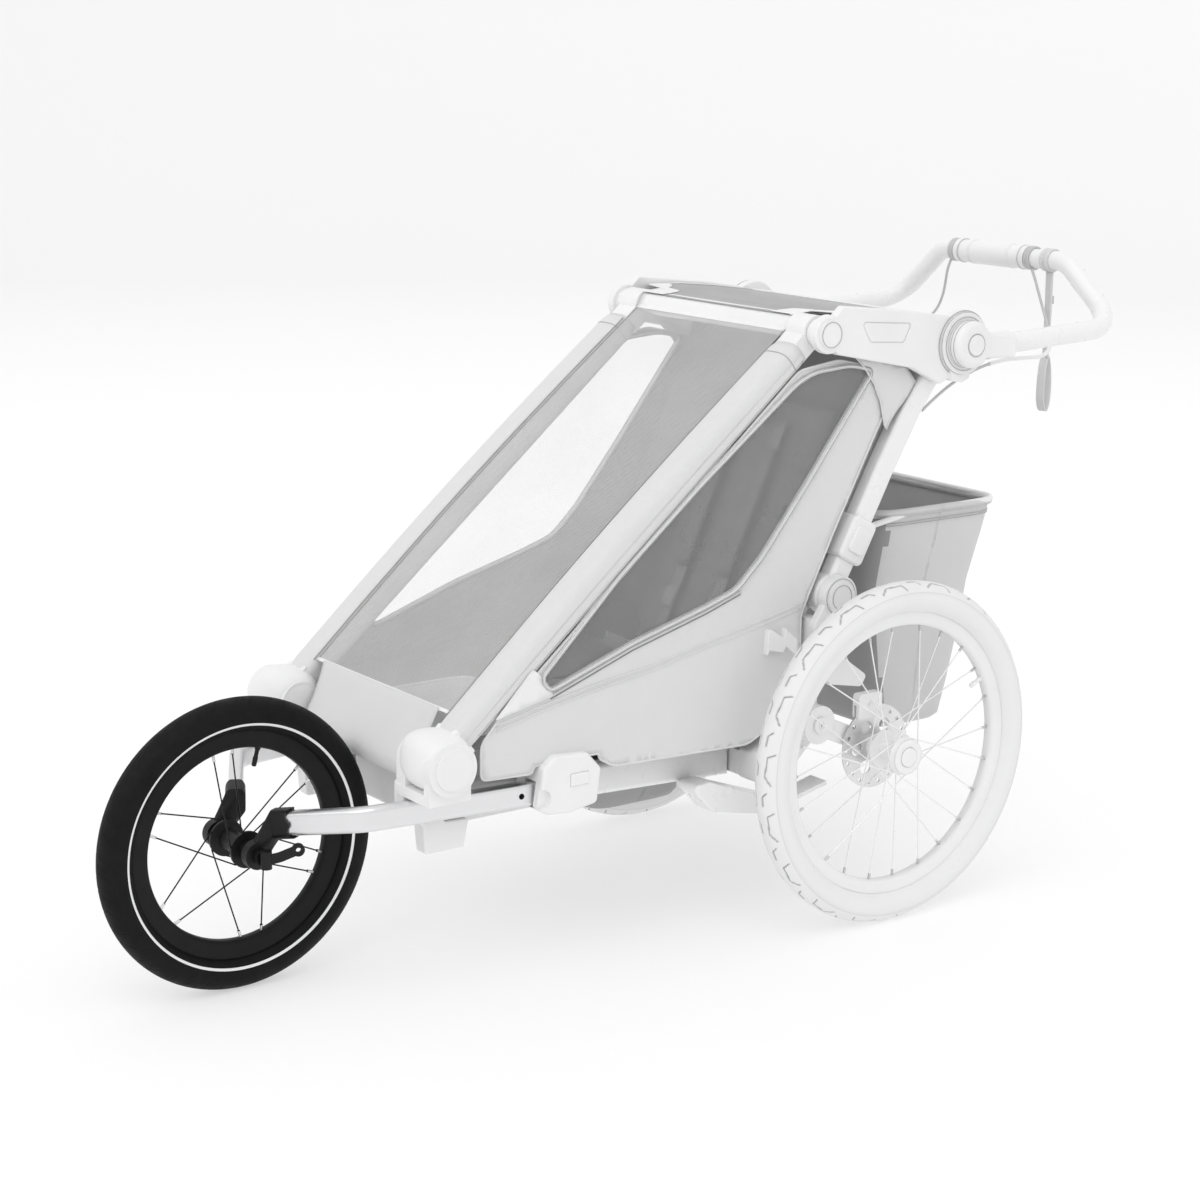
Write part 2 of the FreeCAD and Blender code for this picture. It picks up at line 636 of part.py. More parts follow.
def cable(points):
    """Brake cable from a collar beside the grip, round under the bar and into the upright."""
    lengths = [(b - a).Length for a, b in zip(points, points[1:])]
    radii = [1.0]
    for i in range(1, len(points) - 1):
        back = points[i - 1] - points[i]
        ahead = points[i + 1] - points[i]
        turn = math.pi - back.getAngle(ahead)
        radii.append(0.45 * min(lengths[i - 1], lengths[i]) / math.tan(turn / 2))
    radii.append(1.0)
    shape = pipe(points, CABLE_RADIUS, radii)
    side = math.copysign(1, points[0].x)
    collar_end = abs(points[0].x)
    inner = BAR_RADIUS + 0.02
    collar = spun([(side * (collar_end - 11), inner), (side * (collar_end - 11), GRIP_RADIUS),
                   (side * collar_end, GRIP_RADIUS), (side * collar_end, inner)], BAR_TOP)
    return solid_of(fuse(collar, shape))


# ---- fabric, seat and bag -----------------------------------------------------------------
WINDOW = [(-563, 424), (-549, 405), (-412, 452), (-286, 486), (-234, 503), (-190, 544),
          (-110, 642), (-26, 750), (5, 790), (-40, 800), (-104, 795), (-136, 782),
          (-305, 654), (-437, 546)]


def side_panel():
    """Side fabric between pillar, roof member, upright and rail, with the window cut out."""
    outline = [(-655, 332), (-655, 348), (-620, 386), (-130, 798), (-60, 808), (62, 782),
               (10, 690), (-60, 560), (-114, 452), (-114, 336), (-150, 302), (-206, 276),
               (-440, 290), (-456, 330)]
    panel = plate(outline, FABRIC_X, FABRIC_X + 3, 8)
    opening = plate(WINDOW, FABRIC_X - 1, FABRIC_X + 4, 9)
    return solid_of(panel.cut(opening))


def window():
    """Clear film that fills a side panel's window."""
    return plate(WINDOW, FABRIC_X + 0.8, FABRIC_X + 2.2, 9)


def front_cover():
    """Mesh cover between the pillars, tight along their upper faces."""
    low = between(CORNER, ROOF, 62)
    high = between(ROOF, CORNER, 20)
    outline = band([low, high], 24)
    top_line = [outline[0], outline[1]]
    lower = [(y + 2.0, z - 2.3) for y, z in top_line[::-1]]
    return plate(top_line + lower, -171.5, 171.5)


def apron():
    """Fabric below the mesh, down to the front edge of the foot well."""
    outline = [(-676, 384), (-697, 338), (-693, 337), (-672, 382)]
    return plate(outline, -148, 148)


def hollow_tub(outer_sections, inner_sections):
    """Open-topped tub: a loft between rounded rectangles, less the loft inside it."""
    def loft(sections):
        wires = []
        for x, (y0, y1), z, corner in sections:
            points = [V(-x, y0, z), V(x, y0, z), V(x, y1, z), V(-x, y1, z)]
            wires.append(arc_path(points, corner, closed=True))
        return Part.makeLoft(wires, True, True)
    return solid_of(loft(outer_sections).cut(loft(inner_sections)))


def foot_well():
    """Fabric tub in front of the seat for the child's feet."""
    outer = [(118, (-664, -452), 208, 22), (138, (-686, -438), 334, 16)]
    inner = [(114, (-660, -456), 212, 19), (134.3, (-682, -442), 335, 13)]
    return hollow_tub(outer, inner)


def floor_pocket():
    """Shallow fabric pocket slung between the rails under the seat."""
    outer = [(104, (-390, -236), 176, 28), (136, (-408, -196), 244, 16)]
    inner = [(100, (-386, -240), 180, 25), (133, (-405, -199), 245, 14)]
    return hollow_tub(outer, inner)


def seat_base():
    block = box((-140, 140), (-404, -140), (272, 312))
    return block.makeFillet(14, block.Edges)


def seat_back():
    block = plate(band([(-150, 326), (36, 728)], 34), -138, 138)
    return block.makeFillet(12, block.Edges)


def harness():
    """Two shoulder straps in front of the seat back, meeting at a buckle on the crotch strap."""
    shoulder = plate(band([(-160, 380), (-14, 695)], 5), 38, 62)
    buckle_pad = box((-22, 22), (-238, -196), (352, 372))
    crotch = plate(band([(-228, 314), (-217, 352)], 5), -14, 14)
    waist = Part.makeBox(96, 6, 24, V(22, -214, 350))
    return Part.makeCompound([shoulder, mirrored(shoulder), buckle_pad, crotch,
                              waist, mirrored(waist)])


def roof_canopy():
    """Roof fabric between the members, from the front edge to the rear beam."""
    outline = [(-108, 868), (-60, 873), (0, 873), (60, 868), (154, 856), (154, 853),
               (60, 865), (0, 870), (-60, 870), (-104, 864)]
    return plate(outline, -171, 171)


def cargo_bag():
    """Open bag behind the seat."""
    outer = [(112, (140, 280), 214, 30), (146, (78, 300), 440, 30),
             (BAG_HALF, (80, 316), BAG_RIM_Z, 36)]
    inner = [(107, (145, 275), 219, 26), (141.5, (82.5, 295.5), 440, 26),
             (BAG_HALF - 4, (84, 312), BAG_RIM_Z + 1, 32)]
    return hollow_tub(outer, inner)


def bag_frame():
    """Rod from the fixed hinge housings back round the bag's rim."""
    half = [V(190, -96, 440), V(190, -72, 500), V(166, 20, 544), V(166, 140, 563),
            V(166, 324, 566)]
    route = half + [V(-point.x, point.y, point.z) for point in half[::-1]]
    rod_part = pipe(route, 4.5, [1, 20, 40, 60, 34, 34, 60, 40, 20, 1])
    tab = box((185, 210.9), (-104, -88), (430, 446))
    return solid_of(fuse(rod_part, tab, mirrored(tab)))


def panel_clip():
    """Folded plastic clip on the side fabric beside the upright's foot."""
    outline = [(-182, 404), (-182, 440), (-177, 440), (-152, 424), (-150, 438), (-128, 420),
               (-128, 396), (-148, 412), (-154, 404), (-178, 410)]
    return solid_of(soften(plate(outline, FABRIC_X + 3.2, FABRIC_X + 13), 1.0))


# ---- export -------------------------------------------------------------------------------
def build():
    nodes = {
        "side_rails": pair(side_rail()),
        "cross_tubes": cross_tubes(),
        "corner_joints": pair(corner_joint()),
        "arm_receivers": pair(arm_receiver()),
        "jog_arms": pair(jog_arm()),
        "dropouts": pair(dropout()),
        "front_axle": front_axle(),
        "quick_release_lever": quick_release_lever(),
        "foot_well": Part.makeCompound([foot_well(), floor_pocket()]),
        "seat_base": seat_base(),
        "seat_back": seat_back(),
        "harness": harness(),
        "side_panels": pair(side_panel()),
        "windows": pair(window()),
        "apron": apron(),
        "rear_brackets": pair(rear_bracket()),
        "fold_joints": pair(fold_joint()),
        "parking_brake_lever": parking_brake_lever(),
        "cargo_bag": cargo_bag(),
        "bag_frame": bag_frame(),
        "leaf_springs": pair(leaf_spring()),
        "panel_clips": pair(panel_clip()),
        "pillars": pair(pillar()),
        "top_crossbar": top_crossbar(),
        "front_cover": front_cover(),
        "top_members": pair(top_member()),
        "rear_beam": rear_beam(),
        "roof_canopy": roof_canopy(),
        "uprights": pair(upright()),
        "handlebar_tube": handlebar_tube(),
        "handlebar_hubs": pair(handlebar_hub()),
        "brake_grip": brake_grip(),
        "wrist_strap": wrist_strap(),
        "brake_cables": Part.makeCompound([cable(LEFT_CABLE), cable(RIGHT_CABLE)]),
    }
    nodes.update(front_wheel())
    sided = {
        "fold_latch": fold_latch(),
        "hub_button": hub_button(),
        "receiver_button": receiver_button(),
        "swing_arm": swing_arm(),
        "brake_caliper": brake_caliper(),
        "wheel_button": wheel_button(),
    }
    sided.update(rear_wheel())
    for name, shape in sided.items():
        nodes[name + "_left"] = shape
        nodes[name + "_right"] = Part.makeCompound(mirrored(shape).Solids)
    return nodes


def export(nodes):
    """Slide everything so that the middle of the whole length is at Y = 0, and write it."""
    front = -(WHEELBASE + FRONT_RADIUS)
    rear = BAR_TOP[0] + GRIP_RADIUS
    middle = V(0, -(front + rear) / 2, 0)
    os.makedirs("parts", exist_ok=True)
    for name, shape in nodes.items():
        placed = shape.copy()
        placed.translate(middle)
        bad = [solid for solid in placed.Solids if not solid.isValid()]
        if bad or not placed.Solids:
            print("CHECK", name, len(placed.Solids), "solids,", len(bad), "not valid")
        placed.exportStep("parts/" + name + ".step")
    print(len(nodes), "nodes, moved along Y by", middle.y)


export(build())
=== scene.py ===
"""Looks of the child bicycle trailer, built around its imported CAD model.

Points are written in millimetres as (x, y, z) with y measured from the rear axle, and at()
puts them in the frame.  +X is the trailer's left side, -Y the front, +Z up.
"""
import json
import math

import bmesh
import bpy
import numpy as np
from mathutils import Matrix, Vector
from mathutils.geometry import delaunay_2d_cdt


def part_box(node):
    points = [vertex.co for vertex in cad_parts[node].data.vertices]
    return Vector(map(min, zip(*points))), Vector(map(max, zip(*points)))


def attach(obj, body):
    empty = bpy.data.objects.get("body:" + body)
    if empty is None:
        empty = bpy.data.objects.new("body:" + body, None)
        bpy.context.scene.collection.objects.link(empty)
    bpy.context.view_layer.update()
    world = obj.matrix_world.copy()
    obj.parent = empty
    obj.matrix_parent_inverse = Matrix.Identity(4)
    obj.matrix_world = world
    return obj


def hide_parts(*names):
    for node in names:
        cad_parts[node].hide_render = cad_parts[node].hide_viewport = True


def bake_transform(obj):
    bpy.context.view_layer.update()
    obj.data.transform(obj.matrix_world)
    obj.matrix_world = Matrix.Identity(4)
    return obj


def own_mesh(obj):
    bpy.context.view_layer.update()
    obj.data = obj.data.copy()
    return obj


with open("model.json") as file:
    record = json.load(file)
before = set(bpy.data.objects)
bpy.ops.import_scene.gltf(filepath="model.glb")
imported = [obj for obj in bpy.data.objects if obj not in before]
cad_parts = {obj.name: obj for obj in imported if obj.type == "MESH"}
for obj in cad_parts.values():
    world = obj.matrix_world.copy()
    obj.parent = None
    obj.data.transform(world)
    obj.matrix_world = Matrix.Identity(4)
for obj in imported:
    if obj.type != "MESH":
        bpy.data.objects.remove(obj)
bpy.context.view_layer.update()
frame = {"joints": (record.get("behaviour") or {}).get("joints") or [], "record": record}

MM = 0.001
JOINTS = {joint["name"]: joint for joint in frame["joints"]}


def pivot(joint):
    return Vector(JOINTS[joint]["pos_m"])


REAR_Y = pivot("wheel_spin_left").y


def at(x, y, z):
    """A point in metres in the frame, from millimetres about the rear axle."""
    return Vector((x * MM, REAR_Y + y * MM, z * MM))


def local(joint):
    """A joint's (y, z) in millimetres about the rear axle."""
    place = pivot(joint)
    return (place.y - REAR_Y) / MM, place.z / MM


CORNER = local("fold")
ROOF = local("fold_roof")
KNEE = local("fold_upright")
HUB = local("handlebar_tilt")
BAR = local("brake_twist")
FRONT_AXLE = local("front_wheel_spin")
REAR_AXLE = local("wheel_spin_left")
HALF_TRACK = pivot("wheel_spin_left").x / MM
SIDES = (("left", 1), ("right", -1))


# ---- shader building ---------------------------------------------------------------------
def grey(level):
    return (level, level, level)


class Shader:
    """A material with its node tree, and short ways to add detail to it."""

    def __init__(self, name, colour, roughness, **sockets):
        self.material = bpy.data.materials.new(name)
        self.material.use_nodes = True
        self.tree = self.material.node_tree
        self.surface = self.tree.nodes["Principled BSDF"]
        self.colour = colour
        self.surface.inputs["Base Color"].default_value = (*colour, 1)
        self.surface.inputs["Roughness"].default_value = roughness
        for socket, value in sockets.items():
            self.surface.inputs[socket.replace("_", " ")].default_value = value
        self.height = None
        self.object_place = self.node("TexCoord").outputs["Object"]
        self.cloth_place = self.node("UVMap").outputs["UV"]

    def node(self, kind, **settings):
        """A new node; a setting names an input by its label or a property of the node."""
        made = self.tree.nodes.new("ShaderNode" + kind)
        for key, value in settings.items():
            label = key.replace("_", " ")
            target = made.inputs.get(label)
            if target is None:
                setattr(made, key, value)
            elif isinstance(value, bpy.types.NodeSocket):
                self.tree.links.new(value, target)
            else:
                target.default_value = value
        return made

    def math(self, operation, *values):
        made = self.tree.nodes.new("ShaderNodeMath")
        made.operation = operation
        for slot, value in zip(made.inputs, values):
            if isinstance(value, bpy.types.NodeSocket):
                self.tree.links.new(value, slot)
            else:
                slot.default_value = value
        return made.outputs[0]

    def noise(self, scale, detail=3.0, stretch=(1, 1, 1), place=None):
        """Noise whose grains are about 1/scale metres, stretched along an axis."""
        mapped = self.node("Mapping", Vector=place or self.object_place, Scale=stretch)
        made = self.node("TexNoise", Vector=mapped.outputs[0], Scale=scale, Detail=detail)
        return made.outputs[0]

    def ramp(self, value, low, high, start=0.0, end=1.0):
        made = self.node("MapRange", Value=value)
        made.inputs["From Min"].default_value = low
        made.inputs["From Max"].default_value = high
        made.inputs["To Min"].default_value = start
        made.inputs["To Max"].default_value = end
        return made.outputs[0]

    def blend_colour(self, factor, first, second):
        made = self.tree.nodes.new("ShaderNodeMix")
        made.data_type = "RGBA"
        for socket, value in ((made.inputs[0], factor), (made.inputs[6], first),
                              (made.inputs[7], second)):
            if isinstance(value, bpy.types.NodeSocket):
                self.tree.links.new(value, socket)
            elif socket is made.inputs[0]:
                socket.default_value = value
            else:
                socket.default_value = (*value, 1)
        return made.outputs[2]

    def paint(self, factor, other):
        """Blend the colour towards another one where factor is 1."""
        socket = self.surface.inputs["Base Color"]
        base = socket.links[0].from_socket if socket.links else self.colour
        self.tree.links.new(self.blend_colour(factor, base, other), socket)
        return self

    def shade(self, factor, amount):
        """Darken by an amount where factor is 1."""
        return self.paint(factor, tuple(c * (1 - amount) for c in self.colour))

    def rough(self, factor, low, high):
        self.tree.links.new(self.ramp(factor, 0.3, 0.7, low, high), self.surface.inputs["Roughness"])
        return self

    def bump(self, height, depth):
        """Raise the surface by height times depth (in metres), on top of earlier bumps."""
        made = self.node("Bump", Height=height, Distance=depth)
        if self.height is not None:
            self.tree.links.new(self.height, made.inputs["Normal"])
        self.height = made.outputs[0]
        self.tree.links.new(self.height, self.surface.inputs["Normal"])
        return self

    def see_through(self, opacity):
        self.tree.links.new(opacity, self.surface.inputs["Alpha"])
        return self


def stripes(shader, place, axis, pitch):
    """A 0..1 wave of the given pitch (metres) along one axis of a coordinate."""
    parts = shader.node("SeparateXYZ", Vector=place)
    turned = shader.math("MULTIPLY", parts.outputs[axis], 2 * math.pi / pitch)
    return shader.math("MULTIPLY_ADD", shader.math("SINE", turned), 0.5, 0.5)


def weave(shader, pitch, depth, place=None, axes=(0, 1)):
    """Plain weave: threads that cross, with dark gaps between them, which are painted shade."""
    place = place or shader.cloth_place
    warp = stripes(shader, place, axes[0], pitch)
    weft = stripes(shader, place, axes[1], pitch)
    crossing = shader.math("MULTIPLY", warp, weft)
    thread_gap_shade = shader.math("SUBTRACT", 1.0, shader.math("MAXIMUM", warp, weft))
    shader.bump(crossing, depth)
    # painted shade between the threads
    shader.shade(thread_gap_shade, 0.25)
    return crossing


def moulded(name, colour, roughness=0.42, grain=1400, gloss=0.5):
    """Moulded plastic: fine sand texture, slow colour drift and duller patches."""
    shader = Shader(name, colour, roughness, Specular_IOR_Level=gloss)
    shader.shade(shader.ramp(shader.noise(9, 4), 0.4, 0.75), 0.05)
    shader.rough(shader.noise(40, 3), roughness - 0.06, roughness + 0.1)
    shader.bump(shader.noise(grain, 2), 0.00012)
    return shader.material


def painted(name, colour, roughness=0.3):
    """Satin paint on metal: faint orange peel under a thin clear coat."""
    shader = Shader(name, colour, roughness, Coat_Weight=0.25, Coat_Roughness=0.2)
    shader.shade(shader.ramp(shader.noise(6, 3), 0.45, 0.8), 0.04)
    shader.rough(shader.noise(55, 4), roughness - 0.05, roughness + 0.08)
    shader.bump(shader.noise(420, 2), 0.00005)
    return shader.material


def brushed(name, colour, roughness, stretch, scale=900, scratch=0.12):
    """Metal with fine lines along one direction."""
    shader = Shader(name, colour, roughness, Metallic=1.0)
    lines = shader.noise(scale, 5, stretch)
    shader.shade(shader.ramp(lines, 0.35, 0.7), scratch)
    shader.rough(lines, roughness - 0.07, roughness + 0.12)
    shader.bump(lines, 0.00004)
    return shader.material


def rubber(name, colour, roughness, dust, gloss=0.4, groove=None):
    """Tyre rubber: matt with a pebbled skin and a little dust, and darker in its grooves as painted
    shade.
    """
    shader = Shader(name, colour, roughness, Specular_IOR_Level=gloss)
    shader.paint(shader.ramp(shader.noise(14, 5), 0.5, 0.85, 0, 0.5), dust)
    shader.rough(shader.noise(60, 3), roughness - 0.08, roughness + 0.08)
    shader.bump(shader.noise(1100, 3), 0.00012)
    if groove:
        # painted shade in the cut tread
        cut = shader.node("Attribute", attribute_name="groove")
        shader.paint(cut.outputs["Fac"], groove)
    return shader.material


def woven(name, colour, pitch=0.0011, depth=0.00025, roughness=0.75, sheen=0.25, drift=0.07,
          by_object=False):
    """Coated or plain woven cloth, with its threads along the piece's own flat directions."""
    shader = Shader(name, colour, roughness, Sheen_Weight=sheen, Sheen_Roughness=0.5)
    if by_object:
        weave(shader, pitch, depth, shader.object_place, (0, 2))
    else:
        weave(shader, pitch, depth)
    shader.shade(shader.ramp(shader.noise(11, 4), 0.4, 0.8), drift)
    shader.bump(shader.noise(28, 3), 0.0012)
    return shader.material


def open_mesh(name, colour, opacity_range, pitch=0.0021):
    """Net cloth: round holes between knitted threads."""
    shader = Shader(name, colour, 0.7, Sheen_Weight=0.1)
    warp = stripes(shader, shader.cloth_place, 0, pitch)
    weft = stripes(shader, shader.cloth_place, 1, pitch)
    hole = shader.math("MULTIPLY", warp, weft)
    shader.see_through(shader.ramp(hole, 0.15, 0.6, opacity_range[1], opacity_range[0]))
    shader.bump(hole, -0.0002)
    shader.shade(shader.ramp(shader.noise(7, 3), 0.4, 0.7), 0.1)
    return shader.material


def clear_film(name, colour, opacity, from_behind):
    """Tinted film, glossy, with slow ripples; from its back it hides much less."""
    shader = Shader(name, colour, 0.16, IOR=1.45)
    haze = shader.ramp(shader.noise(8, 4), 0.35, 0.7, opacity - 0.04, opacity + 0.05)
    back = shader.node("NewGeometry").outputs["Backfacing"]
    less = shader.ramp(back, 0, 1, 1, from_behind)
    shader.see_through(shader.math("MULTIPLY", haze, less))
    shader.bump(shader.noise(5, 2), 0.004)
    return shader.material


def spoke_wire(name, wire, nipple, axle, nipple_radius):
    """Drawn wire with bright nipples where it is far from the axle."""
    shader = Shader(name, wire, 0.3, Metallic=0.85)
    centred = shader.node("VectorMath", operation="SUBTRACT")
    shader.tree.links.new(shader.object_place, centred.inputs[0])
    centred.inputs[1].default_value = axle
    flat = shader.node("VectorMath", operation="MULTIPLY")
    shader.tree.links.new(centred.outputs[0], flat.inputs[0])
    flat.inputs[1].default_value = (0, 1, 1)
    length = shader.node("VectorMath", operation="LENGTH")
    shader.tree.links.new(flat.outputs[0], length.inputs[0])
    outside = shader.math("GREATER_THAN", length.outputs[1], nipple_radius)
    shader.paint(outside, nipple)
    shader.rough(shader.noise(500, 2), 0.25, 0.4)
    shader.bump(shader.noise(2500, 2), 0.00003)
    return shader.material


# ---- mesh building -------------------------------------------------------------------------
def add_piece(name, mesh, material, body=None, replaces=()):
    """A new piece from a mesh: smooth, with its material, riding on a body."""
    made = bpy.data.objects.new(name, mesh)
    bpy.context.scene.collection.objects.link(made)
    if not mesh.materials:
        mesh.materials.append(material)
    mesh.shade_smooth()
    if body:
        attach(made, body)
    if replaces:
        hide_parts(*replaces)
    return made


def mesh_of(name, points, faces, flat=None):
    """A mesh from points in metres; flat gives each point's place on the uncut cloth."""
    mesh = bpy.data.meshes.new(name)
    mesh.from_pydata([tuple(point) for point in points], [], faces)
    if flat is not None:
        layer = mesh.uv_layers.new(name="cloth")
        corner_points = np.zeros(len(mesh.loops), np.int32)
        mesh.loops.foreach_get("vertex_index", corner_points)
        layer.data.foreach_set("uv", np.asarray(flat, float)[corner_points].ravel())
    tidy = bmesh.new()
    tidy.from_mesh(mesh)
    bmesh.ops.recalc_face_normals(tidy, faces=tidy.faces)
    tidy.to_mesh(mesh)
    tidy.free()
    return mesh


def grid_mesh(name, rows, ring=False, tube=False, caps=False):
    """Quads through rows of points.  ring joins the last row to the first, tube each row's
    last point to its first, and caps closes the two ends of a tube."""
    points = np.array([[tuple(point) for point in row] for row in rows])
    high, wide = points.shape[:2]
    down = high if ring else high - 1
    over = wide if tube else wide - 1
    faces = [(i * wide + j, i * wide + (j + 1) % wide,
              (i + 1) % high * wide + (j + 1) % wide, (i + 1) % high * wide + j)
             for i in range(down) for j in range(over)]
    if caps:
        faces += [tuple(range(wide)), tuple((high - 1) * wide + j for j in range(wide))]
    steps_across = np.linalg.norm(np.diff(points, axis=1), axis=2).mean(0)
    steps_along = np.linalg.norm(np.diff(points, axis=0), axis=2).mean(1)
    u = np.concatenate([[0], np.cumsum(steps_across)])
    v = np.concatenate([[0], np.cumsum(steps_along)])
    flat = np.stack(np.broadcast_arrays(u[None, :], v[:, None]), axis=2).reshape(-1, 2)
    return mesh_of(name, points.reshape(-1, 3), faces, flat)


def thicken(made, thickness, inner_material=None):
    """Give a sheet its thickness (mm), half to each side."""
    solid = made.modifiers.new("thickness", "SOLIDIFY")
    solid.thickness = thickness * MM
    solid.offset = 0
    if inner_material is not None:
        made.data.materials.append(inner_material)
        solid.material_offset = 1
    return made


def smooth_line(points, count=8):
    """Points of a smooth curve through the given ones (Catmull-Rom)."""
    line = [Vector(point) for point in points]
    padded = [line[0] * 2 - line[1]] + line + [line[-1] * 2 - line[-2]]
    made = []
    for before, start, end, after in zip(padded, padded[1:], padded[2:], padded[3:]):
        for step in range(count):
            t = step / count
            made.append(0.5 * ((2 * start) + (end - before) * t
                               + (2 * before - 5 * start + 4 * end - after) * t * t
                               + (3 * start - before - 3 * end + after) * t ** 3))
    return made + [line[-1]]


def round_corners(points, radius, steps=5):
    """A closed (y, z) outline with every corner turned through an arc."""
    made = []
    count = len(points)
    for i, point in enumerate(points):
        corner = Vector(point)
        back = (Vector(points[i - 1]) - corner)
        ahead = (Vector(points[(i + 1) % count]) - corner)
        reach = min(radius, 0.45 * back.length, 0.45 * ahead.length)
        start = corner + back.normalized() * reach
        end = corner + ahead.normalized() * reach
        for step in range(steps + 1):
            t = step / steps
            made.append(start * (1 - t) ** 2 + corner * 2 * t * (1 - t) + end * t * t)
    return made


def inside(point, outline):
    """True where a (y, z) point is within a closed outline."""
    y, z = point
    found = False
    for i, (y1, z1) in enumerate(outline):
        y0, z0 = outline[i - 1]
        if (z0 > z) != (z1 > z) and y < (y1 - y0) * (z - z0) / (z1 - z0) + y0:
            found = not found
    return found


def cloth_panel(name, outline, depth, holes=(), spacing=13.0):
    """Sheet over a (y, z) outline, less its holes, standing at x = depth(y, z)."""
    loops = [outline, *holes]
    points, edges = [], []
    for loop in loops:
        first = len(points)
        for i, corner in enumerate(loop):
            following = Vector(loop[(i + 1) % len(loop)])
            run = following - Vector(corner)
            pieces = max(1, round(run.length / spacing))
            points += [Vector(corner) + run * step / pieces for step in range(pieces)]
        count = len(points) - first
        edges += [(first + i, first + (i + 1) % count) for i in range(count)]
    rim = np.array([tuple(point) for point in points])
    low, high = rim.min(0), rim.max(0)
    for row in range(int((high[1] - low[1]) / (spacing * 0.87)) + 1):
        for column in range(int((high[0] - low[0]) / spacing) + 1):
            spot = (low[0] + (column + row % 2 / 2) * spacing, low[1] + row * spacing * 0.87)
            clear = np.abs(rim - spot).sum(1).min() > spacing * 0.6
            if clear and inside(spot, outline) and not any(inside(spot, h) for h in holes):
                points.append(Vector(spot))
    flat, _, triangles = delaunay_2d_cdt([p.to_2d() for p in points], edges, [], 0, 0.001)[:3]
    kept = []
    for triangle in triangles:
        middle = sum((flat[i] for i in triangle), Vector((0, 0))) / 3
        if inside(middle, outline) and not any(inside(middle, h) for h in holes):
            kept.append(tuple(triangle))
    place = [at(depth(p.x, p.y), p.x, p.y) for p in flat]
    return mesh_of(name, place, kept, [(p.x * MM, p.y * MM) for p in flat])


def sweep(name, line, section, up=(0, 0, 1), closed=False, twist=0.0):
    """Section of (side, up) offsets in mm carried along points in metres, and turned by
    twist degrees over the whole line."""
    line = [Vector(point) for point in line]
    count = len(line)
    rows = []
    normal = Vector(up).normalized()
    for i, point in enumerate(line):
        before = line[i - 1] if closed or i else point
        after = line[(i + 1) % count] if closed or i < count - 1 else point
        tangent = (after - before).normalized()
        normal = (normal - tangent * normal.dot(tangent)).normalized()
        turn = Matrix.Rotation(math.radians(twist) * i / count, 3, tangent)
        side, lift = turn @ tangent.cross(normal), turn @ normal
        rows.append([point + (side * a + lift * b) * MM for a, b in section])
    return grid_mesh(name, rows, ring=closed, tube=True, caps=not closed)


def circle(radius, sides=10):
    return [(radius * math.cos(2 * math.pi * i / sides), radius * math.sin(2 * math.pi * i / sides))
            for i in range(sides)]


def flat_section(width, thickness, rows=3):
    """Rounded strap section: wide along the first direction."""
    half_w, half_t = width / 2, thickness / 2
    side = [(half_w - half_t * (1 - math.cos(a)), half_t * math.sin(a))
            for a in np.linspace(-math.pi / 2, math.pi / 2, 2 * rows + 1)]
    return side + [(-x, -z) for x, z in side]


def revolve(name, profile, centre, x_middle=0.0, around=128):
    """Closed (x, radius) profile turned about a wheel's or a pin's axle along X."""
    rows = []
    for i in range(around):
        angle = 2 * math.pi * i / around
        rows.append([at(x_middle + x, centre[0] + radius * math.cos(angle),
                        centre[1] + radius * math.sin(angle)) for x, radius in profile])
    return grid_mesh(name, rows, ring=True, tube=True)


def swept_piece(name, line, section, material, body, up=(0, 0, 1), closed=False):
    """A new piece swept along a line, in one of the named materials."""
    mesh = sweep(name, line, section, up, closed)
    return add_piece(name, mesh, MATERIALS[material], body)


def turned_piece(name, profile, centre, x_middle, around, material, body):
    """A new piece turned about an axle or a pin along X, in one of the named materials."""
    mesh = revolve(name, profile, centre, x_middle, around)
    return add_piece(name, mesh, MATERIALS[material], body)


def shell(levels, around=72, power=3.0):
    """Tub of rounded-rectangle levels: (half width, (y0, y1), z), from the bottom up."""
    rows = []
    for half, (y0, y1), z in levels:
        row = []
        for i in range(around):
            angle = 2 * math.pi * (i + 0.5) / around
            c, s = math.cos(angle), math.sin(angle)
            reach = (abs(c) ** power + abs(s) ** power) ** (-1 / power)
            row.append((half * c * reach, (y0 + y1) / 2 + (y1 - y0) / 2 * s * reach, z))
        rows.append(row)
    return rows


def between(start, end, distance):
    """The (y, z) point at a distance in mm from start towards end."""
    run = Vector(end) - Vector(start)
    return tuple(Vector(start) + run.normalized() * distance)


def nearest_run(points_y, points_z, line):
    """Distance of every point to a polyline, as an array."""
    best = np.full(points_y.shape, 1e9)
    for (y0, z0), (y1, z1) in zip(line, line[1:]):
        dy, dz = y1 - y0, z1 - z0
        t = np.clip(((points_y - y0) * dy + (points_z - z0) * dz) / (dy * dy + dz * dz), 0, 1)
        best = np.minimum(best, np.hypot(points_y - y0 - t * dy, points_z - z0 - t * dz))
    return best


# ---- camera, light and floor -----------------------------------------------------------------
CAMERA_PLACE = (2803.3, -2381.7, 1266.6)
CAMERA_YAW, CAMERA_DOWN, CAMERA_ROLL = (math.radians(a) for a in (53.474, 13.108, 0.767))
SENSOR = 36.0
LENS = 74.89


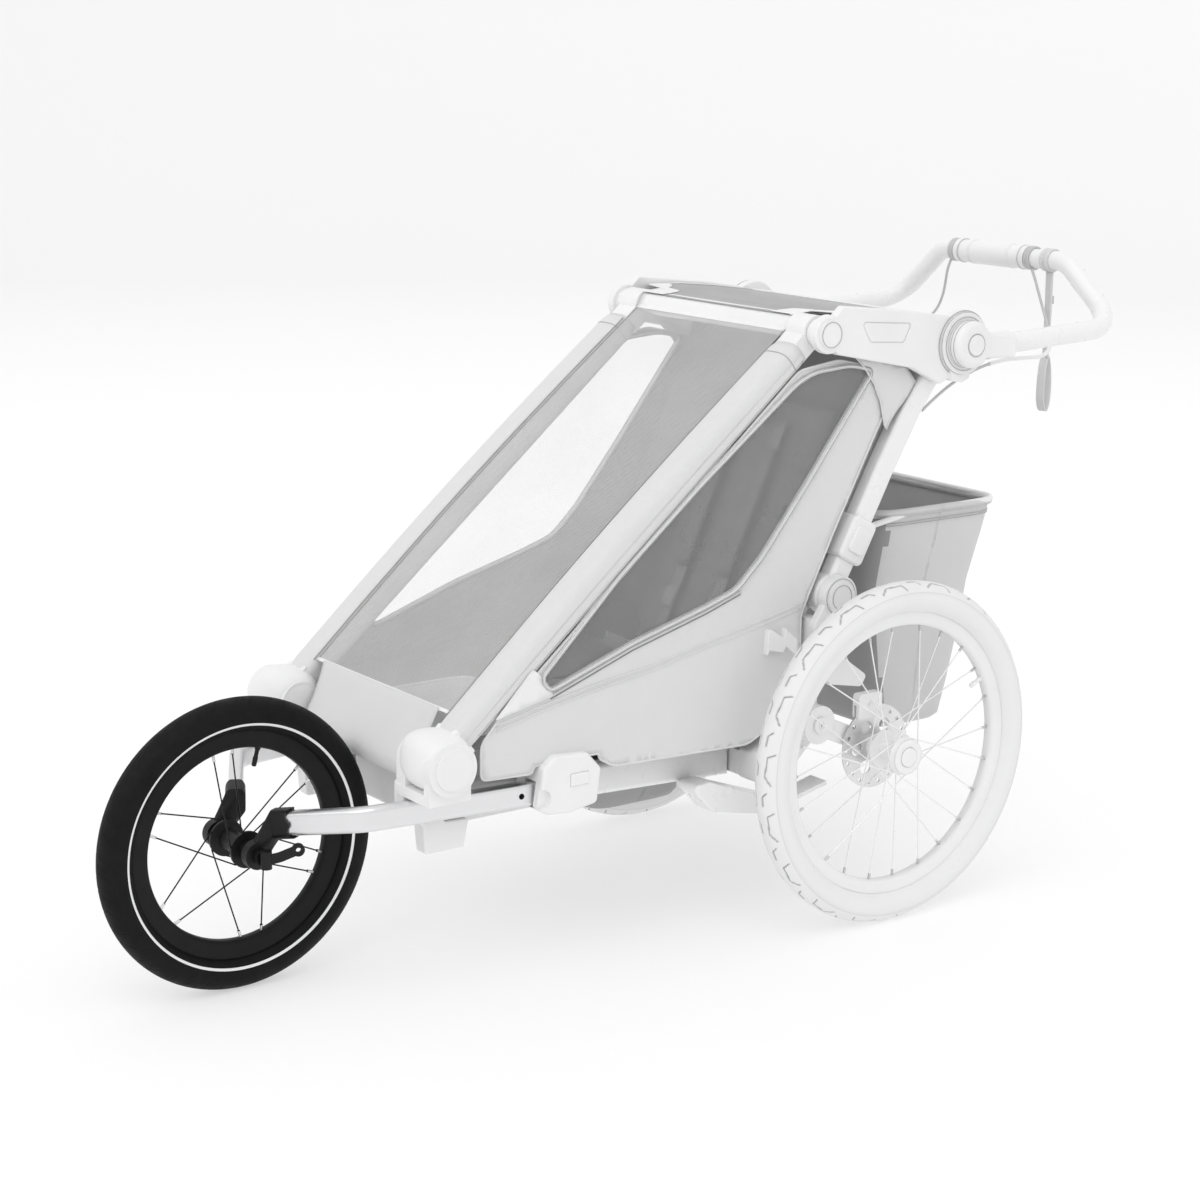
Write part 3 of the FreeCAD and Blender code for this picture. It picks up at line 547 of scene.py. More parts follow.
def camera():
    forward = Vector((-math.sin(CAMERA_YAW) * math.cos(CAMERA_DOWN),
                      math.cos(CAMERA_YAW) * math.cos(CAMERA_DOWN), -math.sin(CAMERA_DOWN)))
    level = Vector((math.cos(CAMERA_YAW), math.sin(CAMERA_YAW), 0))
    upright = level.cross(forward)
    right = level * math.cos(CAMERA_ROLL) + upright * math.sin(CAMERA_ROLL)
    top = upright * math.cos(CAMERA_ROLL) - level * math.sin(CAMERA_ROLL)
    made = bpy.data.objects.new("camera", bpy.data.cameras.new("camera"))
    bpy.context.scene.collection.objects.link(made)
    made.data.sensor_width = SENSOR
    made.data.lens = LENS
    turn = Matrix((right, top, -forward)).transposed().to_4x4()
    made.matrix_world = Matrix.Translation(at(*CAMERA_PLACE)) @ turn
    made.data.clip_end = 100
    bpy.context.scene.camera = made


def broad_sun(name, direction, strength, spread):
    """Wide soft sun that shines along a direction."""
    lamp = bpy.data.lights.new(name, "SUN")
    lamp.energy = strength
    lamp.angle = math.radians(spread)
    made = bpy.data.objects.new(name, lamp)
    bpy.context.scene.collection.objects.link(made)
    made.rotation_euler = Vector(direction).to_track_quat("-Z", "Y").to_euler()


def studio():
    world = bpy.data.worlds.new("studio")
    bpy.context.scene.world = world
    world.use_nodes = True
    sky = world.node_tree.nodes["Background"]
    sky.inputs["Color"].default_value = (1, 1, 1, 1)
    sky.inputs["Strength"].default_value = 0.9
    broad_sun("key_light", (-0.5, 0.45, -1.0), 0.42, 40)
    broad_sun("front_light", (-0.1, 1.0, -0.35), 0.8, 60)
    bpy.context.scene.view_settings.view_transform = "Standard"


def floor():
    """Pale dish: flat under the trailer, rising far away so that no horizon shows."""
    flat_radius, rise_radius, height = 9.0, 6.0, 7.0
    profile = [(0.001, 0), (flat_radius / 2, 0), (flat_radius, 0)]
    for step in range(1, 13):
        angle = math.pi / 2 * step / 12
        profile.append((flat_radius + rise_radius * math.sin(angle),
                        height * (1 - math.cos(angle))))
    rows = []
    for i in range(96):
        a = 2 * math.pi * i / 96
        rows.append([(r * math.cos(a), r * math.sin(a), z) for r, z in profile])
    near_glow, far_glow = 0.5, 0.37
    paper = Shader("studio_paper", grey(0.5), 0.9, Specular_IOR_Level=0.1,
                   Emission_Color=(1, 1, 1, 1))
    distance = paper.node("VectorMath", operation="LENGTH", Vector=paper.object_place)
    glow = paper.ramp(distance.outputs["Value"], 3.0, flat_radius, near_glow, far_glow)
    paper.tree.links.new(glow, paper.surface.inputs["Emission Strength"])
    paper.bump(paper.noise(900, 2), 0.0002)
    made = add_piece("floor", grid_mesh("floor", rows, ring=True), paper.material)


camera()
studio()
floor()

# ---- materials -------------------------------------------------------------------------------
MATERIALS = {
    "frame_white": painted("frame_white", grey(0.86)),
    "plastic_white": moulded("plastic_white", grey(0.86)),
    "arm_aluminium": brushed("arm_aluminium", (0.83, 0.83, 0.84), 0.3, (1, 1, 24)),
    "cast_black": moulded("cast_black", (0.006, 0.006, 0.0065), 0.42, 900, 0.3),
    "fabric_white": woven("fabric_white", grey(0.82)),
    "seat_fabric": woven("seat_fabric", grey(0.4), 0.0018, 0.0005, by_object=True),
    "harness_web": woven("harness_web", grey(0.5), 0.0016, 0.0004),
    "window_film": clear_film("window_film", (0.27, 0.27, 0.275), 0.6, 0.12),
    "bag_fabric": woven("bag_fabric", grey(0.74), 0.0014, 0.0003),
    # darker cloth: on the bag's forward faces it is painted shade; the floor sling is also made of it
    "bag_shade_and_dark_cloth": woven("bag_shade_and_dark_cloth", grey(0.36), 0.0014, 0.0003),
    "mesh_fabric": open_mesh("mesh_fabric", grey(0.82), (0.1, 0.6)),
    "roof_mesh": open_mesh("roof_mesh", grey(0.42), (0.8, 1.0)),
    "strap_web": woven("strap_web", grey(0.84), 0.0012, 0.0004),
    "cable_grey": moulded("cable_grey", grey(0.56), 0.45, 2200),
    # faint lines of painted shade along seams, stitching and the joints of mouldings
    "faint_recess_shade": moulded("faint_recess_shade", grey(0.42), 0.5, 2200),
    "tyre_black": rubber("tyre_black", (0.004, 0.004, 0.0042), 0.6, grey(0.01), 0.18),
    "tyre_pale": rubber("tyre_pale", grey(0.82), 0.6, grey(0.78), groove=grey(0.33)),
    "rim_black": moulded("rim_black", (0.006, 0.006, 0.0062), 0.45, 900, 0.2),
    "rim_pale": painted("rim_pale", grey(0.84), 0.4),
    "rotor_steel": brushed("rotor_steel", grey(0.84), 0.35, (1, 1, 1), 700),
    "lining": woven("lining", grey(0.36), 0.0016, 0.0003),
    "stripe": moulded("stripe", grey(0.86), 0.4, 1800),
    # dark lines of painted shade in grooves, slots and gaps
    "recess_shade": woven("recess_shade", grey(0.3), 0.0009, 0.0002),
    "bag_lining": woven("bag_lining", grey(0.6), 0.0014, 0.0003),
    "skid_black": moulded("skid_black", grey(0.03), 0.6, 900),
}
MATERIALS["spoke_black"] = spoke_wire(
    "spoke_black", grey(0.02), grey(0.75), at(0, *FRONT_AXLE), 0.1235)
for side, sign in SIDES:
    MATERIALS["spoke_steel_" + side] = spoke_wire(
        "spoke_steel_" + side, grey(0.9), grey(0.6),
        at(sign * HALF_TRACK, *REAR_AXLE), 0.1785)


# ---- wheels -----------------------------------------------------------------------------------
TYRE_WIDTH = 47.0
FRONT_BEAD = 152.5
REAR_BEAD = 203.0


def groove_depth(run, arc, radius, marks, pitch_count, width, depth):
    """Depth of cut at each point of the tread: marks are lines of (run, arc) in mm."""
    pitch = 2 * math.pi * radius / pitch_count
    cut = np.zeros(run.shape)
    for side in (1, -1):
        shifted = np.mod(run + (pitch / 2 if side < 0 else 0), pitch)
        for line in marks:
            far = nearest_run(shifted, arc * side, line)
            cut = np.maximum(cut, np.clip((width - far) / 0.5 + 0.5, 0, 1))
    return cut * depth


def tyre(name, bead, centre, x_middle, marks, pitch_count, width, depth, body, material):
    """Round casing with a cut tread, a moulded rib on each side wall and the bead's edge."""
    half = TYRE_WIDTH / 2
    around, across = 960, 76
    opening = math.radians(58)
    turn = np.linspace(-opening, math.pi + opening, across)
    spin = np.arange(around) * 2 * math.pi / around
    arc = (turn - math.pi / 2) * half
    radius = bead + TYRE_WIDTH
    run_grid, arc_grid = np.meshgrid(spin * radius, arc, indexing="ij")
    cut = groove_depth(run_grid, arc_grid, radius, marks, pitch_count, width, depth)
    for rib in (26.5, 30.5):
        cut += np.clip(1 - np.abs(np.abs(arc_grid) - rib) / 0.7, 0, 1) * 0.45
    reach = half - cut
    x = x_middle + reach * np.cos(turn)[None, :]
    out = bead + half + reach * np.sin(turn)[None, :]
    y = centre[0] + out * np.cos(spin)[:, None]
    z = centre[1] + out * np.sin(spin)[:, None]
    points = np.stack([x * MM, REAR_Y + y * MM, z * MM], axis=2)
    mesh = grid_mesh(name, points, ring=True, tube=True)
    groove = mesh.attributes.new("groove", "FLOAT", "POINT")
    groove.data.foreach_set("value", np.clip(cut / depth, 0, 1).ravel().astype(np.float32))
    return add_piece(name, mesh, MATERIALS[material], body, [name])


REAR_MARKS = [[(3, 21), (8, 11), (36, 9), (48, 18)], [(60, 12), (66, 5), (80, 5)]]
FRONT_MARKS = [[(4, 5), (10, 13), (14, 25)], [(26, 8), (34, 17), (40, 23)], [(16, 2), (30, 4)]]


def front_tyre():
    tyre("front_tyre", FRONT_BEAD, FRONT_AXLE, 0, FRONT_MARKS, 24, 0.7, 0.7,
         "front_wheel", "tyre_black")
    half = TYRE_WIDTH / 2
    for side, sign in SIDES:
        ring = []
        for radius in (164.6, 165.2, 168.0, 168.6):
            drop = radius - (FRONT_BEAD + half)
            lift = 0.35 if 165 < radius < 168.2 else -0.3
            ring.append((sign * (math.sqrt(half ** 2 - drop ** 2) + lift), radius))
        ring += [(x - sign * 1.2, radius) for x, radius in ring[::-1]]
        turned_piece("tyre_stripe_" + side, ring, FRONT_AXLE, 0, 256, "stripe",
                     "front_wheel")


def rear_tyres():
    for side, sign in SIDES:
        tyre("rear_tyre_" + side, REAR_BEAD, REAR_AXLE, sign * HALF_TRACK, REAR_MARKS, 18,
             1.0, 1.2, "wheel_" + side, "tyre_pale")


def rims():
    """Rim wells turned as one smooth profile each, with a raised brake-side line."""
    for name, bead, centre, x_middle, depth, material, body in [
            ("front_rim", FRONT_BEAD, FRONT_AXLE, 0, 21, "rim_black", "front_wheel"),
            ("rear_rim_left", REAR_BEAD, REAR_AXLE, HALF_TRACK, 16, "rim_pale", "wheel_left"),
            ("rear_rim_right", REAR_BEAD, REAR_AXLE, -HALF_TRACK, 16, "rim_pale",
             "wheel_right")]:
        half = 10.5
        side = [(half - 1.2, bead + 4.0), (half, bead + 3.2), (half, bead - 3), (half - 0.5, bead - 4),
                (half - 0.4, bead - depth + 7), (half - 2.2, bead - depth + 2.4),
                (half - 5.5, bead - depth + 0.3)]
        inner = [(half - 3, bead + 4.0), (half - 2.6, bead - 4), (3, bead - 7)]
        profile = (side + [(-x, r) for x, r in side[::-1]] + [(-x, r) for x, r in inner]
                   + inner[::-1])
        mesh = revolve(name + "_well", profile, centre, x_middle, 240)
        made = add_piece(name + "_well", mesh, MATERIALS[material], body, [name])
        made.data.set_sharp_from_angle(angle=math.radians(50))


def valve(name, bead, depth, centre, x_middle, angle, length, material, body):
    """Rubber valve stem with its ribbed cap, pointing at the hub."""
    spin = math.radians(angle)
    inward = Vector((0, -math.cos(spin), -math.sin(spin)))
    start = at(x_middle, centre[0], centre[1]) - inward * (bead - depth + 1) * MM
    rings = [(0, 4.2), (3, 4.0), (5, 3.0), (length * 0.5, 2.8), (length * 0.55, 3.5),
             (length * 0.95, 3.3), (length, 2.2)]
    rows = []
    for along, radius in rings:
        rows.append([start + inward * along * MM
                     + (Vector((1, 0, 0)) * a + inward.cross(Vector((1, 0, 0))) * b) * MM
                     for a, b in circle(radius, 16)])
    add_piece(name, grid_mesh(name, rows, tube=True, caps=True), MATERIALS[material],
              body)


def hub_details():
    """End caps, locknuts and the bolts that hold the brake rotors."""
    for side, sign in SIDES:
        x = sign * 328
        ring = [(0, 14.4), (0, 26.0), (sign * 1.6, 25.2), (sign * 2.4, 22), (sign * 2.4, 15.6),
                (sign * 1.4, 14.4)]
        turned_piece("hub_cap_ring_" + side, ring, REAR_AXLE, x, 96, "plastic_white",
                     "wheel_" + side)
        for i in range(6):
            spin = math.radians(30 + 60 * i)
            spot = (REAR_AXLE[0] + 13.0 * math.cos(spin), REAR_AXLE[1] + 13.0 * math.sin(spin))
            head = [(0, 0.01), (0, 2.6), (sign * -1.4, 3.4), (sign * -2.2, 3.4), (sign * -2.2, 0.01)]
            turned_piece(f"rotor_bolt_{side}_{i}", head, spot, sign * 256.5, 14, "rotor_steel",
                         "wheel_" + side)


front_tyre()
rear_tyres()
rims()
valve("front_valve", FRONT_BEAD, 21, FRONT_AXLE, 0, 75, 27, "cast_black", "front_wheel")
for side, sign in SIDES:
    valve("rear_valve_" + side, REAR_BEAD, 16, REAR_AXLE, sign * HALF_TRACK, 27, 22,
          "plastic_white", "wheel_" + side)
hub_details()


# ---- CAD nodes that stay in view ----------------------------------------------------------------
def dress_nodes():
    """Give every CAD node the material of its slot; the spokes need their own wheel's centre."""
    for part in frame["record"]["subparts"]:
        node, slot = part["node"], part["material_slot"]
        key = slot
        if slot == "spoke_steel":
            key = "spoke_steel_" + node.rsplit("_", 1)[1]
        for holder in bpy.data.objects[node].material_slots:
            holder.material = MATERIALS[key]


dress_nodes()

# ---- helpers for the soft parts -----------------------------------------------------------------
PILLAR_RUN = (Vector(ROOF) - Vector(CORNER))
PILLAR_LENGTH = PILLAR_RUN.length
PILLAR_DIRECTION = PILLAR_RUN.normalized()
PILLAR_NORMAL = Vector((-PILLAR_DIRECTION.y, PILLAR_DIRECTION.x))


def crumples(*pieces):
    """Give each soft piece its own copy of its mesh."""
    for piece in pieces:
        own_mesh(piece)


def on_pillar(along, proud):
    """(y, z) at a distance up the pillar and a height over its centre line."""
    return tuple(Vector(CORNER) + PILLAR_DIRECTION * along + PILLAR_NORMAL * proud)


def pillar_bow(along):
    """The padded pillars and the mesh between them arch a little forward."""
    return 10.0 * math.sin(math.pi * min(max(along / PILLAR_LENGTH, 0), 1))


def flat_size(mesh):
    """Width and length of the smallest rectangle that a sheet's flat cut fits in."""
    flat = np.zeros(len(mesh.loops) * 2)
    mesh.uv_layers[0].data.foreach_get("uv", flat)
    flat = flat.reshape(-1, 2)
    sizes = []
    for angle in np.radians(np.arange(0, 90, 3)):
        turn = np.array(((math.cos(angle), -math.sin(angle)), (math.sin(angle), math.cos(angle))))
        turned = flat @ turn
        sizes.append(tuple(float(size) for size in turned.max(0) - turned.min(0)))
    return min(sizes, key=lambda size: size[0] * size[1])


def stretched(piece):
    width, length = flat_size(piece.data)


def line_on_side(name, points, x, section, material, body, closed=False):
    """Piping or seam that runs along (y, z) points at a distance x from the middle."""
    path = [at(x, y, z) for y, z in points]
    return swept_piece(name, path, section, material, body, (1, 0, 0), closed)


# ---- side fabric --------------------------------------------------------------------------------
FABRIC_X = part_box("side_panels")[1][0] / MM - 3.0
PANEL = [(-655, 300), (-655, 348), (-620, 386), (-130, 798), (-60, 808), (62, 782),
         (10, 690), (-60, 560), (-114, 452), (-114, 336), (-150, 302), (-206, 276),
         (-440, 284), (-464, 298), (-466, 306), (-571, 306), (-576, 296)]
WINDOW = [(-563, 424), (-549, 405), (-412, 452), (-286, 486), (-234, 503), (-190, 544),
          (-110, 642), (-26, 750), (5, 790), (-40, 800), (-104, 795), (-136, 782),
          (-305, 654), (-437, 546)]
BELLY_SEAM = [(-633, 371), (-548, 389.5), (-468, 403.5), (-383, 415), (-298, 432),
              (-210, 448), (-118, 467)]
WINDOW_FOOT = [(-546, 407), (-412, 454), (-286, 488), (-226, 508)]


def seam_height(y):
    run, height = zip(*BELLY_SEAM)
    return float(np.interp(y, run, height))


def panel_depth(y, z):
    """Fabric stands out a little over the seat's side and puckers above the belly seam."""
    above = z - seam_height(y)
    bulge = 1.3 * math.exp(-((above + 52) / 45) ** 2)
    towards_rear = min(max((y + 480) / 260, 0), 1)
    near_seam = math.exp(-((above - 18) / 20) ** 2)
    pucker = 1.5 * towards_rear * near_seam * math.sin(y / 4.6 + above / 11)
    loose_end = min(max((y + 210) / 80, 0), 1) * math.exp(-((z - 380) / 60) ** 2)
    return bulge + pucker + 1.4 * loose_end * math.sin(y / 8 + z / 17)


def face_outwards(mesh, sign):
    """Turn a side sheet's faces so that they look away from the trailer."""
    outside = sum(face.normal.x * face.area for face in mesh.polygons)
    if outside * sign < 0:
        mesh.flip_normals()


PANEL_MIDDLE = FABRIC_X + 1.5


def window_trims(side, sign, hole):
    """Piping and a groove round the window, and two lines of stitching along its foot; the groove and
    the thinner foot line are dark lines of painted shade.
    """
    edge = line_on_side("window_piping_" + side, hole, sign * (PANEL_MIDDLE + 1.3),
                        flat_section(2.4, 8), "stripe", "chassis", True)
    groove = line_on_side("window_groove_" + side, hole, sign * (PANEL_MIDDLE + 2.6),
                          circle(0.8, 6), "recess_shade", "chassis", True)
    foot = []
    for i, (drop, radius, key) in enumerate(((9, 1.6, "fabric_white"), (13, 0.7, "recess_shade"))):
        line = [(y, z - drop) for y, z in WINDOW_FOOT]
        foot.append(line_on_side(f"window_foot_{side}_{i}", line, sign * (PANEL_MIDDLE + 1.8),
                                 circle(radius, 8), key, "chassis"))
    return edge, groove, foot


def belly_seams(side, sign):
    made = []
    for i, drop in enumerate((0, 7)):
        path = smooth_line([at(sign * (PANEL_MIDDLE + 1.6 + panel_depth(y, z)), y, z - drop)
                            for y, z in BELLY_SEAM], 8)
        made.append(swept_piece(f"belly_seam_{side}_{i}", path, circle(1.3, 8), "fabric_white",
                                "chassis", (1, 0, 0)))
    return made


def gusset_patch(side, sign):
    """Smooth patch over the front corner of the window."""
    outline = round_corners([(-576, 439.5), (-636, 378), (-590, 388), (-543, 398),
                             (-549, 412), (-559, 424)], 5)
    mesh = cloth_panel("gusset_" + side, outline, lambda y, z: sign * (PANEL_MIDDLE + 3.2), (), 12)
    patch = add_piece("gusset_" + side, mesh, MATERIALS["stripe"], "chassis")
    return thicken(patch, 1.4)


def side_fabric():
    for side, sign in SIDES:
        outline, hole = round_corners(PANEL, 10), round_corners(WINDOW, 14)
        mesh = cloth_panel("side_fabric_" + side, outline,
                           lambda y, z: sign * (PANEL_MIDDLE + panel_depth(y, z)), [hole], 11.0)
        fabric = add_piece("side_fabric_" + side, mesh, MATERIALS["fabric_white"],
                           "chassis", ["side_panels"])
        thicken(fabric, 1.6, MATERIALS["lining"])
        glass = cloth_panel("window_" + side, hole, lambda y, z: sign * PANEL_MIDDLE, (), 24)
        film = add_piece("window_" + side, glass, MATERIALS["window_film"],
                         "chassis", ["windows"])
        for sheet in (mesh, glass):
            face_outwards(sheet, sign)
        edge, groove, foot = window_trims(side, sign, hole)
        belly = belly_seams(side, sign)
        patch = gusset_patch(side, sign)
        hem = line_on_side("panel_hem_" + side, outline, sign * (PANEL_MIDDLE + 0.2),
                           circle(1.9, 8), "fabric_white", "chassis", True)
        crumples(fabric, film, edge, groove, patch, hem, *foot, *belly)
        stretched(fabric)
        stretched(film)


def rear_flap():
    """Loose corner of the roof fabric that hangs outside the window's rear end."""
    outline = [(-39.5, 818), (-14, 795), (6, 770), (19, 744), (28, 710), (33, 704), (52, 728),
               (87, 768), (67.5, 791.5)]
    for side, sign in SIDES:
        def depth(y, z):
            return sign * (221.6 + 1.2 * math.sin((y + z) / 14) * min(1, (818 - z) / 60))
        mesh = cloth_panel("rear_flap_" + side, outline, depth, (), 8)
        flap = add_piece("rear_flap_" + side, mesh, MATERIALS["fabric_white"],
                         "top_frame")
        thicken(flap, 1.0)
        hem = line_on_side("flap_hem_" + side, outline[:6], sign * 222.4, circle(1.3, 8),
                           "fabric_white", "top_frame")
        stretched(flap)


# ---- front cover, apron and roof -----------------------------------------------------------------
COVER_HALF = 169.5
COVER_START, COVER_END = 62.0, PILLAR_LENGTH - 12.0
COVER_PROUD = 14.0


def cover_point(x, along, lift=0.0):
    """Point on the front mesh, which hangs a little slack between the pillars."""
    part = (along - COVER_START) / (COVER_END - COVER_START)
    slack = 4.0 * (1 - (x / COVER_HALF) ** 2) * math.sin(math.pi * min(max(part, 0), 1))
    return at(x, *on_pillar(along, COVER_PROUD + pillar_bow(along) - slack + lift))


def front_mesh():
    lengths = np.linspace(COVER_START, COVER_END, 64)
    widths = np.linspace(-COVER_HALF, COVER_HALF, 32)
    rows = [[cover_point(x, along) for x in widths] for along in lengths]
    mesh = add_piece("front_mesh", grid_mesh("front_mesh", rows), MATERIALS["mesh_fabric"],
                     None, ["front_cover"])
    trims = []
    for i, (along, width) in enumerate(((COVER_START + 3, 5.5), (COVER_END - 4, 7.0))):
        path = [cover_point(x, along, 0.8) for x in widths]
        trims.append(swept_piece(f"front_mesh_hem_{i}", path, flat_section(width, 1.6), "stripe",
                                 None, (0, *PILLAR_NORMAL)))
    # thin lines of painted shade along the mesh's side edges
    for side, sign in SIDES:
        path = [cover_point(sign * (COVER_HALF - 1.5), along, 0.6) for along in lengths]
        trims.append(swept_piece("front_mesh_edge_" + side, path, circle(1.0, 8), "faint_recess_shade",
                                 None, (0, *PILLAR_NORMAL)))
    for piece in (mesh, *trims):
        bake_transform(piece)
    stretched(mesh)


def roof_front():
    """White band that wraps the top crossbar, between the mesh and the roof fabric."""
    line = smooth_line([(0, *on_pillar(COVER_END - 3, COVER_PROUD)), (0, -110, 860),
                        (0, -104, 867), (0, -92, 869.5)], 5)
    rows = [[at(x, y, z) for _, y, z in line] for x in np.linspace(-171, 171, 24)]
    mesh = grid_mesh("roof_front_band", rows)
    band = add_piece("roof_front_band", mesh, MATERIALS["stripe"],
                     "front_frame")
    thicken(band, 1.4)
    stretched(band)


APRON_LINE = [(-675, 386), (-684, 364), (-697, 338), (-709, 318), (-714, 304), (-710, 290),
              (-697, 285), (-689, 292)]


def apron_point(x, part, lift=0.0):
    """Point on the fabric below the mesh, which wraps the front tube at its lower edge."""
    line = smooth_line([(0, *point) for point in APRON_LINE], 6)
    place = min(max(part, 0), 1) * (len(line) - 1)
    low = min(int(place), len(line) - 2)
    spot = line[low].lerp(line[low + 1], place - low)
    run = (line[low + 1] - line[low]).normalized()
    half = 148 - 8 * min(1, part * 2.2)
    return at(x * half / 148, spot.y + lift * run.z, spot.z - lift * run.y)


def apron():
    widths = np.linspace(-148, 148, 38)
    rows = [[apron_point(x, part) for x in widths] for part in np.linspace(0, 1, 26)]
    sheet = add_piece("front_apron", grid_mesh("front_apron", rows), MATERIALS["fabric_white"],
                      "chassis", ["apron"])
    thicken(sheet, 1.6)
    trims = []
    lines = {"hem": [(-148, 0.6), (0, 0.6), (148, 0.6)],
             "top": [(-148, 0.03), (0, 0.03), (148, 0.03)],
             "piping": [(-146, 0.12), (-96, 0.3), (-50, 0.38), (50, 0.38), (96, 0.3), (146, 0.12)]}
    for name, line in lines.items():
        path = smooth_line([apron_point(x, part, -1.2) for x, part in line], 6)
        material = "cable_grey" if name == "piping" else "stripe"
        trims.append(swept_piece("apron_" + name, path, circle(1.0, 8), material,
                                 "chassis"))
    crumples(sheet, *trims)
    stretched(sheet)


ROOF_LINE = [(-106, 869), (-60, 873), (0, 872), (60, 866.5), (152, 854.5)]
ROOF_HALF = 223.0


def roof_half(y):
    """Half width of the roof fabric, which steps out behind the pillars' top knuckles."""
    step = min(max((y + 70) / 16, 0), 1)
    return 171 + (ROOF_HALF - 171) * step * step * (3 - 2 * step)


def roof_point(share, y, lift=0.0):
    """Point on the roof at a share of its half width; it dips a little in its middle."""
    run, height = zip(*ROOF_LINE)
    dip = 4.0 * (1 - share * share) * math.sin(math.pi * (y - run[0]) / (run[-1] - run[0]))
    return at(share * roof_half(y), y, float(np.interp(y, run, height)) - dip + lift)


def roof():
    lengths = np.linspace(ROOF_LINE[0][0], ROOF_LINE[-1][0], 52)
    shares = np.linspace(-1, 1, 44)
    rows = [[roof_point(share, y) for share in shares] for y in lengths]
    sheet = add_piece("roof_sheet", grid_mesh("roof_sheet", rows), MATERIALS["roof_mesh"],
                      None, ["roof_canopy"])
    trims = []
    for side, sign in SIDES:
        path = [roof_point(sign * 0.985, y, 0.8) for y in lengths]
        trims.append(swept_piece("roof_edge_" + side, path, flat_section(7, 1.8), "stripe",
                                 None))
        corner = []
        for y in np.linspace(ROOF_LINE[0][0], -20, 24):
            part = (y - ROOF_LINE[0][0]) / 86
            reach = 0.28 * (1 - part ** 2) ** 0.6
            corner.append([roof_point(sign * (1 - reach * share), y, 1.0)
                           for share in np.linspace(0, 1, 10)])
        patch = add_piece("roof_corner_" + side, grid_mesh("roof_corner_" + side, corner),
                          MATERIALS["stripe"], None)
        trims.append(patch)
    path = [roof_point(share, lengths[-1] - 4, 0.8) for share in shares]
    trims.append(swept_piece("roof_hem", path, flat_section(9, 1.8), "stripe",
                             None))
    for piece in (sheet, *trims):
        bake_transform(piece)
    stretched(sheet)


def liner_point(x, height):
    """Point on the cabin's rear wall, which follows the seat back and wraps its sides."""
    line = [(-168, 262), (-140, 300), (-118, 360), (-26, 560), (42, 712), (76, 790), (96, 846)]
    ys, zs = zip(*line)
    y = float(np.interp(height, zs, ys))
    wing = max(0.0, (abs(x) - 140) / 74)
    return at(x, y - 58 * wing ** 1.5, height)


def cabin_liner():
    """Dark fabric inside: the rear wall, and the sheets beside the seat and foot well."""
    widths = np.linspace(-214, 214, 44)
    rows = [[liner_point(x, z) for x in widths] for z in np.linspace(262, 846, 48)]
    wall = add_piece("rear_wall", grid_mesh("rear_wall", rows), MATERIALS["lining"],
                     "chassis")
    crumples(wall)
    stretched(wall)
    for side, sign in SIDES:
        rows = []
        for y in np.linspace(-640, -170, 40):
            inner = 333 - 27 * min(max((y + 440) / 40, 0), 1)
            row = []
            for part in np.linspace(0, 1, 9):
                sag = 9 * math.sin(math.pi * part)
                row.append(at(sign * (139 + 75 * part), y, inner + (352 - inner) * part ** 2 - sag))
            rows.append(row)
        shelf = add_piece("side_liner_" + side, grid_mesh("side_liner_" + side, rows),
                          MATERIALS["lining"], "chassis")
        crumples(shelf)
        stretched(shelf)
        strip = [(-116, 400), (-60, 474), (34, 646), (84, 732), (120, 790), (150, 832),
                 (110, 842), (50, 790), (4, 690), (-66, 560), (-126, 452)]
        mesh = cloth_panel("corner_liner_" + side, strip, lambda y, z: sign * 192.5, (), 14)
        corner = add_piece("corner_liner_" + side, mesh, MATERIALS["fabric_white"],
                           "chassis")
        crumples(corner)
        stretched(corner)


side_fabric()
rear_flap()
front_mesh()
roof_front()
apron()
roof()
cabin_liner()


# ---- tubs: foot well, floor pocket and cargo bag ---------------------------------------------------
def tub(name, levels, material, node, power, wall, around=96, inner=None, sag=None):
    """Fabric tub lofted through levels, with its floor closed in the middle."""
    rows = []
    for row in shell(levels, around, power):
        rows.append([at(*(sag(point) if sag else point)) for point in row])
    made = add_piece(name, grid_mesh(name, rows, tube=True), MATERIALS[material],
                     "chassis", [node] if node else [])
    thicken(made, wall, MATERIALS[inner] if inner else None)
    if inner:  # faces that look forward are darker outside, and lined like the rest inside
        made.data.materials.append(MATERIALS["bag_shade_and_dark_cloth"])
        made.data.materials.append(MATERIALS[inner])
        # forward-facing faces get the darker cloth as painted shade
        for face in made.data.polygons:
            if face.normal.y < -0.3:
                face.material_index = 2


def hem_ring(name, level, radius, material, power, lift=0.0, sag=None):
    """Rim piping of a tub."""
    half, span, z = level
    row = shell([(half, span, z + lift)], 96, power)[0]
    path = [at(*(sag(point) if sag else point)) for point in row]
    swept_piece(name, path, circle(radius, 8), material, "chassis", closed=True)


def blown_levels(bottom, top, count, belly):
    """Levels between a bottom and a top rectangle, the sides swelling by belly mm."""
    half0, (a0, b0), z0 = bottom
    half1, (a1, b1), z1 = top
    made = []
    for t in np.linspace(0, 1, count):
        swell = belly * math.sin(math.pi * t)
        made.append((half0 + (half1 - half0) * t + swell,
                     (a0 + (a1 - a0) * t - swell, b0 + (b1 - b0) * t + swell),
                     z0 + (z1 - z0) * t))
    return made


def floor_levels(level, lift, inset):
    """Rings that close a tub's floor, with a rounded edge up to its first wall level."""
    half, (y0, y1), z = level
    middle = (y0 + y1) / 2
    made = []
    for share in (0.02, 0.5, 0.9):
        reach = (half - inset) * share
        depth = (y1 - y0) / 2 - inset
        made.append((reach, (middle - depth * share, middle + depth * share), z + lift))
    made.append((half - inset * 0.45, (y0 + inset * 0.45, y1 - inset * 0.45), z + lift + inset * 0.1))
    return made


